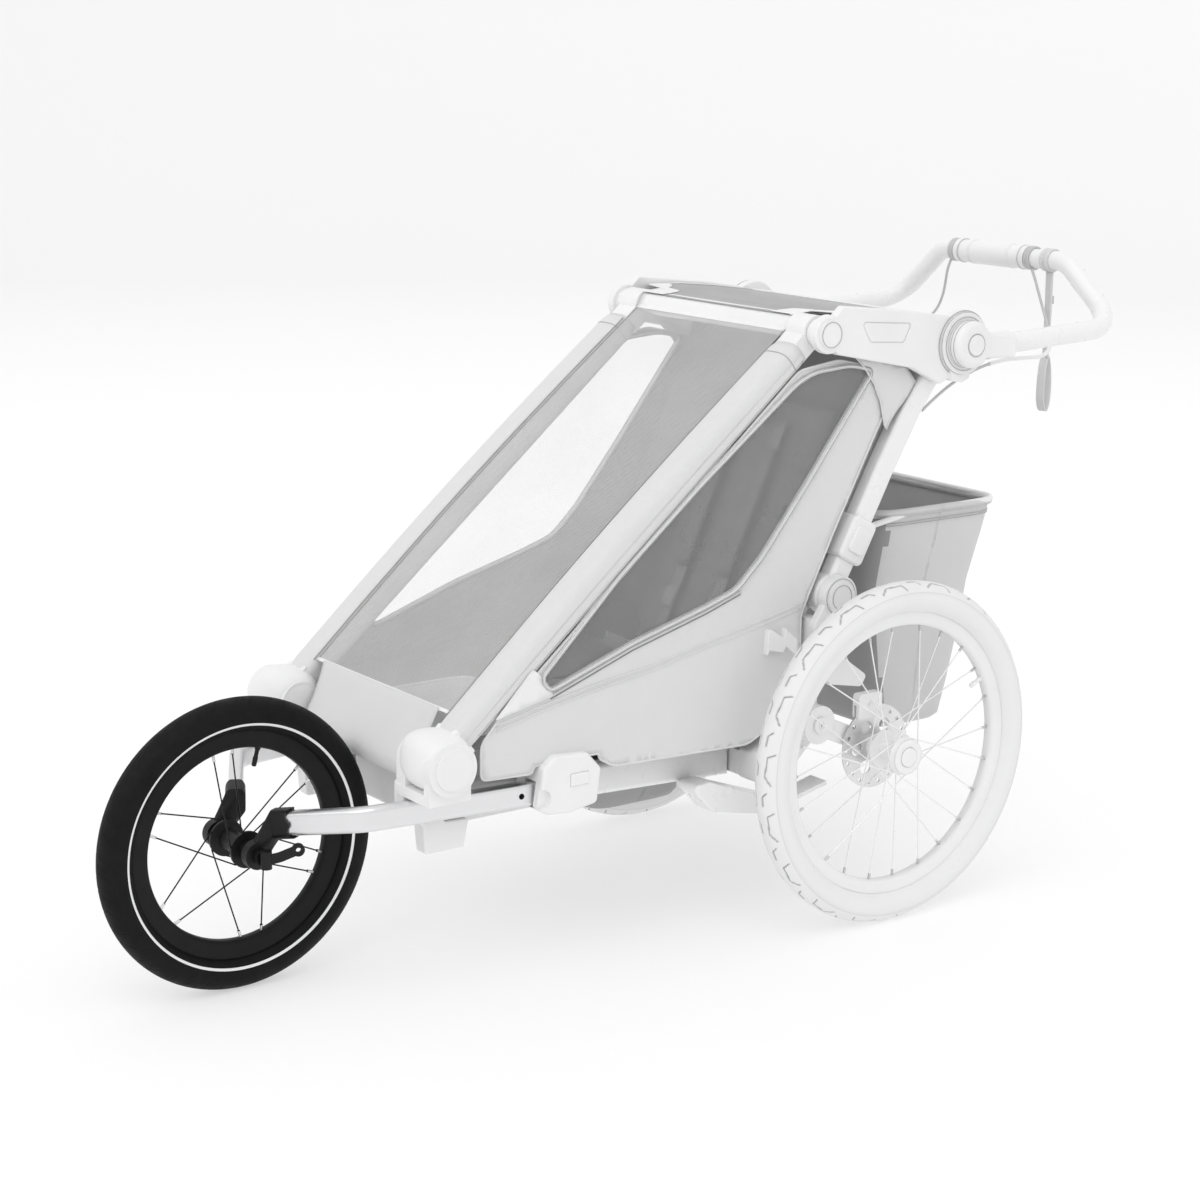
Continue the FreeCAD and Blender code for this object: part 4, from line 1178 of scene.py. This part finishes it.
def foot_well():
    bottom = (116, (-662, -454), 208.0)
    top = (136, (-684, -440), 333.0)
    wall = blown_levels((118, (-664, -452), 216), top, 9, 0.6)
    tub("foot_tub", floor_levels(bottom, 1.2, 8) + wall, "fabric_white",
        "foot_well", 9, 2.2)
    hem_ring("foot_tub_hem", top, 1.9, "stripe", 9)
    hem_ring("foot_tub_seam", (118, (-664, -452), 217), 1.1, "fabric_white", 9)
    # the strap slot is a dark line of painted shade
    slot_line = [at(-52, -684.2, 262), at(-52, -688.6, 300)]
    swept_piece("foot_tub_slot", slot_line, circle(2.2, 8), "recess_shade", "chassis",
                (1, 0, 0))
    strap_line = smooth_line([at(98, -687, 328), at(84, -688, 298), at(66, -681, 258)], 5)
    swept_piece("foot_tub_strap", strap_line, flat_section(13, 2), "strap_web",
                "chassis", (0, -1, 0))


def floor_pocket():
    bottom = (102, (-388, -238), 176.0)
    top = (135, (-407, -197), 243.5)
    wall = blown_levels((106, (-391, -234), 182), top, 7, 2.0)
    tub("floor_sling", floor_levels(bottom, 1.2, 10) + wall, "bag_shade_and_dark_cloth", None,
        6, 2.0)
    hem_ring("floor_sling_hem", top, 1.6, "bag_fabric", 6)
    skid_line = smooth_line([at(-84, -372, 180), at(-40, -392, 179), at(40, -392, 179),
                             at(84, -372, 180)], 8)
    swept_piece("floor_skid", skid_line, flat_section(14, 5), "skid_black",
                "chassis")


def bag_sag(point):
    """The bag's rim dips between its rods, and its sides fold a little towards the bottom."""
    x, y, z = point
    height = (z - 214) / (560 - 214)
    across = abs(x) / 158
    dip = 7.0 * max(0, height) ** 6 * (1 - min(across, 1) ** 2) * (1 if y < 200 else 0.3)
    fold = 2.2 * (1 - height) * height * 4
    ripple = math.sin(y / 17 + z / 31) * math.cos(x / 29 + z / 43)
    return x - math.copysign(fold * (1 + 0.5 * ripple), x), y + 1.6 * ripple * height, z - dip


def cargo_bag():
    rim = (166, (79, 325), 563.0)
    levels = (floor_levels((110, (142, 278), 214.0), 1.5, 12)
              + blown_levels((112, (140, 280), 224), (147, (78, 302), 440), 12, 2.5)[:-1]
              + blown_levels((147, (78, 302), 440), rim, 11, 0.5))
    tub("bag_shell", levels, "bag_fabric", "cargo_bag", 8, 2.2, 120,
        "bag_lining", bag_sag)
    hem_ring("bag_hem", rim, 6.5, "bag_fabric", 8, 0, bag_sag)
    # the two stitch lines under the rim are thin lines of painted shade
    for i, drop in enumerate((14, 18)):
        level = (rim[0] - 0.055 * drop + 1.4, (rim[1][0] - 1.4, rim[1][1] - 0.19 * drop + 1.4),
                 rim[2])
        hem_ring(f"bag_stitch_{i}", level, 0.6, "faint_recess_shade", 8, -drop, bag_sag)


foot_well()
floor_pocket()
cargo_bag()


# ---- seat -------------------------------------------------------------------------------------------
def puffed(name, outline, half, shrink, cap):
    """Padded slab over a (y, z) outline: it starts small and is blown up like a cushion."""
    rim = round_corners(outline, 14, 4)
    count = len(rim)
    points = [at(x, *p) for x in (-half + shrink, half - shrink) for p in rim]
    faces = [tuple(range(count)), tuple(range(count, 2 * count))]
    faces += [(i, (i + 1) % count, (i + 1) % count + count, i + count) for i in range(count)]
    made = add_piece(name, mesh_of(name, points, faces), MATERIALS["seat_fabric"],
                     "chassis")
    voxels = made.modifiers.new("voxels", "REMESH")
    voxels.mode = "VOXEL"
    voxels.voxel_size = 0.006
    settle(made)
    cloth = made.modifiers.new("pad", "CLOTH")
    cloth.settings.use_pressure = True
    cloth.settings.uniform_pressure_force = 4
    cloth.settings.effector_weights.gravity = 0
    before = points_of(made.data)
    for step in range(1, 21):
        bpy.context.scene.frame_set(step)
    settle(made)
    bpy.context.scene.frame_set(1)
    move = points_of(made.data) - before
    length = np.linalg.norm(move, axis=1, keepdims=True)
    limit = np.minimum(1, cap * MM / np.maximum(length, 1e-9))
    made.data.vertices.foreach_set("co", (before + move * limit).ravel())
    made.data.update()
    return made


def settle(made):
    """Replace a piece's mesh by what its modifiers make of it."""
    made.update_tag()
    state = bpy.context.evaluated_depsgraph_get()
    state.update()
    mesh = bpy.data.meshes.new_from_object(made.evaluated_get(state))
    made.modifiers.clear()
    made.data = mesh
    mesh.shade_smooth()


def points_of(mesh):
    points = np.zeros(len(mesh.vertices) * 3)
    mesh.vertices.foreach_get("co", points)
    return points.reshape(-1, 3)


def quilt(made, along, pitch, depth, axis):
    """Sewn channels across a pad: its skin is drawn in along lines a pitch apart."""
    points = points_of(made.data)
    normals = np.zeros(points.size)
    made.data.vertices.foreach_get("normal", normals)
    normals = normals.reshape(-1, 3)
    place = points @ np.array(axis)
    far = np.abs(np.mod(place - along, pitch * MM) - pitch * MM / 2)
    points -= normals * (depth * MM * np.exp(-(far / 0.006) ** 2))[:, None]
    made.data.vertices.foreach_set("co", points.ravel())
    smooth = made.modifiers.new("smooth", "SUBSURF")
    smooth.levels = 1
    smooth.render_levels = 1


def slab(start, end, width):
    """(y, z) outline of a straight band."""
    run = (Vector(end) - Vector(start)).normalized()
    side = Vector((-run.y, run.x)) * width / 2
    return [Vector(start) + side, Vector(end) + side, Vector(end) - side, Vector(start) - side]


SEAT_FOOT, SEAT_HEAD = (-150, 326), (36, 728)


def seat():
    base = puffed("seat_cushion", [(-400, 276), (-400, 308), (-144, 308), (-144, 276)], 137, 4, 6)
    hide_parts("seat_base")
    quilt(base, 0, 64, 3.0, (0, 1, 0))
    back_start = between(SEAT_FOOT, SEAT_HEAD, 6)
    back_end = between(SEAT_HEAD, SEAT_FOOT, 6)
    back = puffed("seat_rest", slab(back_start, back_end, 24), 135, 4, 6)
    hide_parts("seat_back")
    run = (Vector(SEAT_HEAD) - Vector(SEAT_FOOT)).normalized()
    quilt(back, 0, 72, 3.0, (0, run.x, run.y))
    crumples(back)


def strap(name, points, width, thickness, up, material="harness_web"):
    path = smooth_line([at(*point) for point in points], 6)
    return swept_piece(name, path, flat_section(width, thickness), material,
                       "chassis", up)


def harness():
    """Shoulder straps with pads, waist straps, crotch strap and a buckle between them."""
    made = []
    facing = (0, -0.9, 0.42)
    for side, sign in SIDES:
        shoulder = [(sign * 50, -13, 697), (sign * 50, -66, 583), (sign * 49, -119, 468),
                    (sign * 50, -161, 379)]
        made.append(strap("shoulder_strap_" + side, shoulder, 22, 3, facing))
        pad = [(sign * 50, -36, 655), (sign * 50, -82, 556), (sign * 49, -118, 476)]
        made.append(strap("shoulder_pad_" + side, pad, 25, 8, facing, "seat_fabric"))
        made.append(strap("strap_slider_" + side, [(sign * 50, -134, 443), (sign * 50, -147, 415)],
                          24, 7, facing, "cable_grey"))
        waist = [(sign * 20, -212, 362), (sign * 60, -212, 360), (sign * 117, -210, 362)]
        made.append(strap("waist_strap_" + side, waist, 22, 3, facing))
    crotch = [(0, -229, 313), (0, -222, 334), (0, -216, 353)]
    made.append(strap("crotch_strap", crotch, 26, 4, facing))
    rows = []
    for z, size in ((352, 0.86), (355, 0.97), (362, 1.0), (369, 0.97), (372, 0.8)):
        rows.append([at(a * size, -217 + b * size, z) for a, b in flat_ring(22, 20, 40)])
    mesh = grid_mesh("buckle", rows, tube=True, caps=True)
    made.append(add_piece("buckle", mesh, MATERIALS["plastic_white"], "chassis"))
    # dark ring of painted shade in the gap round the button
    ring = [at(a * 0.55, -217 + b * 0.55, 372.4) for a, b in flat_ring(22, 20, 40)]
    made.append(swept_piece("buckle_button", ring, circle(1.4, 8), "recess_shade",
                            "chassis", closed=True))
    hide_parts("harness")
    crumples(*made)


def flat_ring(half_x, half_y, count, power=3.5):
    """Rounded-rectangle ring of (x, y) offsets."""
    made = []
    for i in range(count):
        angle = 2 * math.pi * (i + 0.5) / count
        c, s = math.cos(angle), math.sin(angle)
        reach = (abs(c) ** power + abs(s) ** power) ** (-1 / power)
        made.append((half_x * c * reach, half_y * s * reach))
    return made


seat()
harness()


# ---- handlebar, cables and wrist strap ------------------------------------------------------------
def route_line(name, route):
    """Points read from a smooth NURBS curve through a route, as vectors in metres."""
    curve = bpy.data.curves.new(name, "CURVE")
    curve.dimensions = "3D"
    curve.resolution_u = 10
    spline = curve.splines.new("NURBS")
    spline.points.add(len(route) - 1)
    for point, place in zip(spline.points, route):
        point.co = (*at(*place), 1)
    spline.order_u = 3
    spline.use_endpoint_u = True
    holder = bpy.data.objects.new(name, curve)
    bpy.context.scene.collection.objects.link(holder)
    state = bpy.context.evaluated_depsgraph_get()
    mesh = bpy.data.meshes.new_from_object(holder.evaluated_get(state))
    line = [vertex.co.copy() for vertex in mesh.vertices]
    bpy.data.objects.remove(holder)
    return line


CABLE_END = [(204, 236, 778), (208, 186, 764), (211, 142, 744), (212, 110, 723)]
LEFT_CABLE = [(70, 468, 897), (78, 467, 885), (88, 467, 862), (103, 466, 832), (124, 458, 803),
              (149, 436, 784), (170, 398, 777), (185, 348, 780), (196, 292, 783), *CABLE_END]
RIGHT_CABLE = [(-108, 468, 897), (-117, 470, 883), (-127, 477, 862), (-139, 484, 836),
               (-152, 482, 808), (-166, 458, 786), (-178, 412, 776), (-188, 354, 778),
               (-197, 294, 783), *[(-x, y, z) for x, y, z in CABLE_END]]
BAR_RADIUS = 15.0
CABLE_WIDTH = 0.0044


def collar(name, low, high, radius, material):
    """Clamp round the handlebar, with rounded edges and a fine groove in its middle."""
    middle = (low + high) / 2
    profile = [(low, BAR_RADIUS), (low, radius - 1), (low + 1, radius), (middle - 0.8, radius),
               (middle, radius - 0.9), (middle + 0.8, radius), (high - 1, radius),
               (high, radius - 1), (high, BAR_RADIUS)]
    turned_piece(name, profile, BAR, 0, 64, material, "handlebar")


def cables():
    """Brake cables: a housing on a smooth line, a thicker sleeve and a collar on the bar."""
    for side, sign, route, low, high in (("left", 1, LEFT_CABLE, 59, 70),
                                         ("right", -1, RIGHT_CABLE, -108, -97)):
        line = route_line("cable_line_" + side, route)
        mesh = sweep("brake_cable_" + side, line, circle(CABLE_WIDTH / 2 / MM, 12), (0, 1, 0))
        cable = add_piece("brake_cable_" + side, mesh, MATERIALS["cable_grey"],
                          None, ["brake_cables"])
        part = [point for point in line if point.z < 0.786 and point.y - REAR_Y > 0.25]
        sleeve = swept_piece("cable_sleeve_" + side, part, circle(3.1, 12), "plastic_white",
                             None)
        collar("cable_collar_" + side, low, high, 18.6, "cable_grey")
        for piece in (cable, sleeve):
            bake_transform(piece)


STRAP_MIDDLE = 101.0
STRAP_TWIST = 10.0
STRAP_ROUTE = [(STRAP_MIDDLE, 476, 896), (STRAP_MIDDLE, 476, 866), (STRAP_MIDDLE, 477, 832),
               (STRAP_MIDDLE, 476, 796), (STRAP_MIDDLE, 476, 761)]


def wrist_strap():
    """Webbing that hangs from a collar to a sewn hand loop."""
    line = route_line("strap_line", STRAP_ROUTE)
    web = add_piece("wrist_strap_web", sweep("wrist_strap_web", line, flat_section(15, 3.4),
                                             (0, 1, 0), twist=STRAP_TWIST),
                    MATERIALS["strap_web"], "handlebar", ["wrist_strap"])
    collar("wrist_strap_collar", 92, 110, 17.8, "strap_web")
    turn = math.radians(STRAP_TWIST)
    loop_line = smooth_line([at(STRAP_MIDDLE - d * math.sin(turn), 476 + d * math.cos(turn), z)
                             for d, z in ((1, 764), (6, 748), (9, 722), (8, 694), (0, 679),
                                          (-8, 694), (-9, 722), (-6, 748), (-1, 763))], 7)
    across = (math.cos(turn), math.sin(turn), 0)
    upright_section = [(b, a) for a, b in flat_section(15, 2)[::-1]]
    loop = swept_piece("wrist_strap_loop", loop_line, upright_section, "strap_web",
                       "handlebar", across)
    bar_tack = [at(STRAP_MIDDLE, 479.2, z) for z in (858, 846)]
    tack = swept_piece("wrist_strap_tack", bar_tack, flat_section(15.6, 4.6), "cable_grey",
                       "handlebar", (0, 1, 0))


def grip_ribs():
    """Raised ribs round the twist grip."""
    low, high = (value / MM for value in (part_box("brake_grip")[0][0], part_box("brake_grip")[1][0]))
    middle = (low + high) / 2
    for i, x in enumerate((low + 10.5, middle - 44, middle - 40, middle + 40, middle + 44,
                           high - 10.5)):
        profile = [(-1, 17.2), (-0.8, 19.2), (0.8, 19.2), (1, 17.2)]
        material = "cable_grey" if i in (0, 5) else "plastic_white"
        turned_piece(f"grip_rib_{i}", profile, BAR, x, 72, material,
                     "brake_grip")


def pivot_ring(name, centre, x, radius, width, body):
    """Thin ring of painted shade in the face of a pivot cap, where two mouldings meet."""
    depth = 0.5
    profile = [(-depth, radius - width / 2), (depth, radius - width / 2),
               (depth, radius + width / 2), (-depth, radius + width / 2)]
    turned_piece(name, profile, centre, x, 96, "faint_recess_shade", body)


def socket_screw(name, centre, x, sign, radius, body):
    """Round-headed screw with a hollow in its head."""
    profile = [(sign * -1.5, 0.01), (sign * -1.5, radius), (sign * 0.6, radius),
               (sign * 1.6, radius * 0.72), (sign * 1.6, radius * 0.46), (sign * 0.3, radius * 0.4),
               (sign * 0.3, 0.01)]
    turned_piece(name, profile, centre, x, 40, "rotor_steel", body)


def pivot_details():
    for side, sign in SIDES:
        for label, centre, x, radius, body in (
                ("hub_outer", HUB, 246.2, 38.5, "top_frame"),
                ("roof_cap", ROOF, 243.2, 17.5, "top_frame"),
                ("knee_cap", KNEE, 244.2, 17.5, "chassis"),
                ("knee_rim", KNEE, 241.2, 26.5, "chassis")):
            pivot_ring(f"{label}_{side}", centre, sign * x, radius, 0.9, body)
        for label, centre, x, radius, body in (("hub_waist", HUB, 243.5, 44.5, "top_frame"),
                                               ("hub_seam", HUB, 240.6, 47.2, "top_frame"),
                                               ("dome_seam", HUB, 250.5, 34.0, "handlebar"),
                                               ("dome_line", HUB, 256.5, 34.0, "handlebar"),
                                               ("button_ring", HUB, 268.1, 16.4, "handlebar")):
            pivot_ring(f"{label}_{side}", centre, sign * x, radius, 0.7, body)
        socket_screw("suspension_screw_" + side, local("suspension_left"), sign * 256, sign, 5.2,
                     "chassis")
        socket_screw("brake_screw_" + side, (-20, 318), sign * 266, sign, 3.0,
                     "suspension_" + side)
    socket_screw("front_nut", FRONT_AXLE, -72, -1, 5.0, "chassis")


SLEEVE_START, SLEEVE_END = 30.0, PILLAR_LENGTH - 40
SLEEVE_X = 194.0
BOOT_RADIUS, BOOT_HALF, BOOT_X = 39.0, 47.5, 196.0


def pillar_sleeve(side, sign):
    """Padded fabric sleeve that arches over a pillar, a little drawn in at its ends."""
    rows = []
    for along in np.linspace(SLEEVE_START, SLEEVE_END, 60):
        part = (along - SLEEVE_START) / (SLEEVE_END - SLEEVE_START)
        drawn_in = 1 - min(1, part / 0.02, (1 - part) / 0.01)
        top = 20.0 + pillar_bow(along) - 3.0 * drawn_in
        low = -17.0 + 1.2 * drawn_in
        row = []
        for a, b in flat_ring(25.6 - 1.5 * drawn_in, (top - low) / 2, 40, 3.4):
            row.append(at(sign * (SLEEVE_X + a), *on_pillar(along, (top + low) / 2 + b)))
        rows.append(row)
    mesh = grid_mesh("pillar_sleeve_" + side, rows, tube=True, caps=True)
    sleeve = add_piece("pillar_sleeve_" + side, mesh, MATERIALS["fabric_white"],
                       "front_frame")


def corner_boot(side, sign):
    """Moulded boot, like a rounded drum, over the joint at a pillar's foot."""
    rows = []
    for part in np.linspace(0.03, 0.97, 22):
        radius = BOOT_RADIUS * math.sin(math.pi * part) ** 0.45
        x = sign * (BOOT_X - BOOT_HALF * math.cos(math.pi * part))
        rows.append([at(x, CORNER[0] + 1 + a, CORNER[1] + 4 + b)
                     for a, b in flat_ring(radius, radius, 40, 2.6)])
    mesh = grid_mesh("corner_boot_" + side, rows, tube=True, caps=True)
    add_piece("corner_boot_" + side, mesh, MATERIALS["plastic_white"], "chassis")


def pillar_seams():
    """Seams along both edges of each padded pillar, and across it under the top knuckle, drawn as thin
    lines of painted shade.
    """
    for side, sign in SIDES:
        alongs = (60, 200, 400, 600, PILLAR_LENGTH - 46)
        runs = {"inner": [(172.0, along, 16.8 + pillar_bow(along)) for along in alongs],
                "outer": [(218.0, along, -8.0) for along in alongs]}
        for name, line in runs.items():
            path = smooth_line([at(sign * x, *on_pillar(along, proud))
                                for x, along, proud in line], 10)
            swept_piece(f"pillar_seam_{name}_{side}", path, circle(0.8, 8), "faint_recess_shade",
                        "front_frame", (0, *PILLAR_NORMAL))
        along = PILLAR_LENGTH - 64
        middle = (3.0 + pillar_bow(along)) / 2
        cuff = [at(sign * (SLEEVE_X + a), *on_pillar(along, middle + b))
                for a, b in flat_ring(25.7, 18.6 + pillar_bow(along) / 2, 40, 3.4)]
        swept_piece("pillar_cuff_" + side, cuff, circle(0.8, 8), "faint_recess_shade",
                    "front_frame", (0, *PILLAR_DIRECTION), True)


cables()
wrist_strap()
grip_ribs()
pivot_details()
for side, sign in SIDES:
    pillar_sleeve(side, sign)
    corner_boot(side, sign)
pillar_seams()
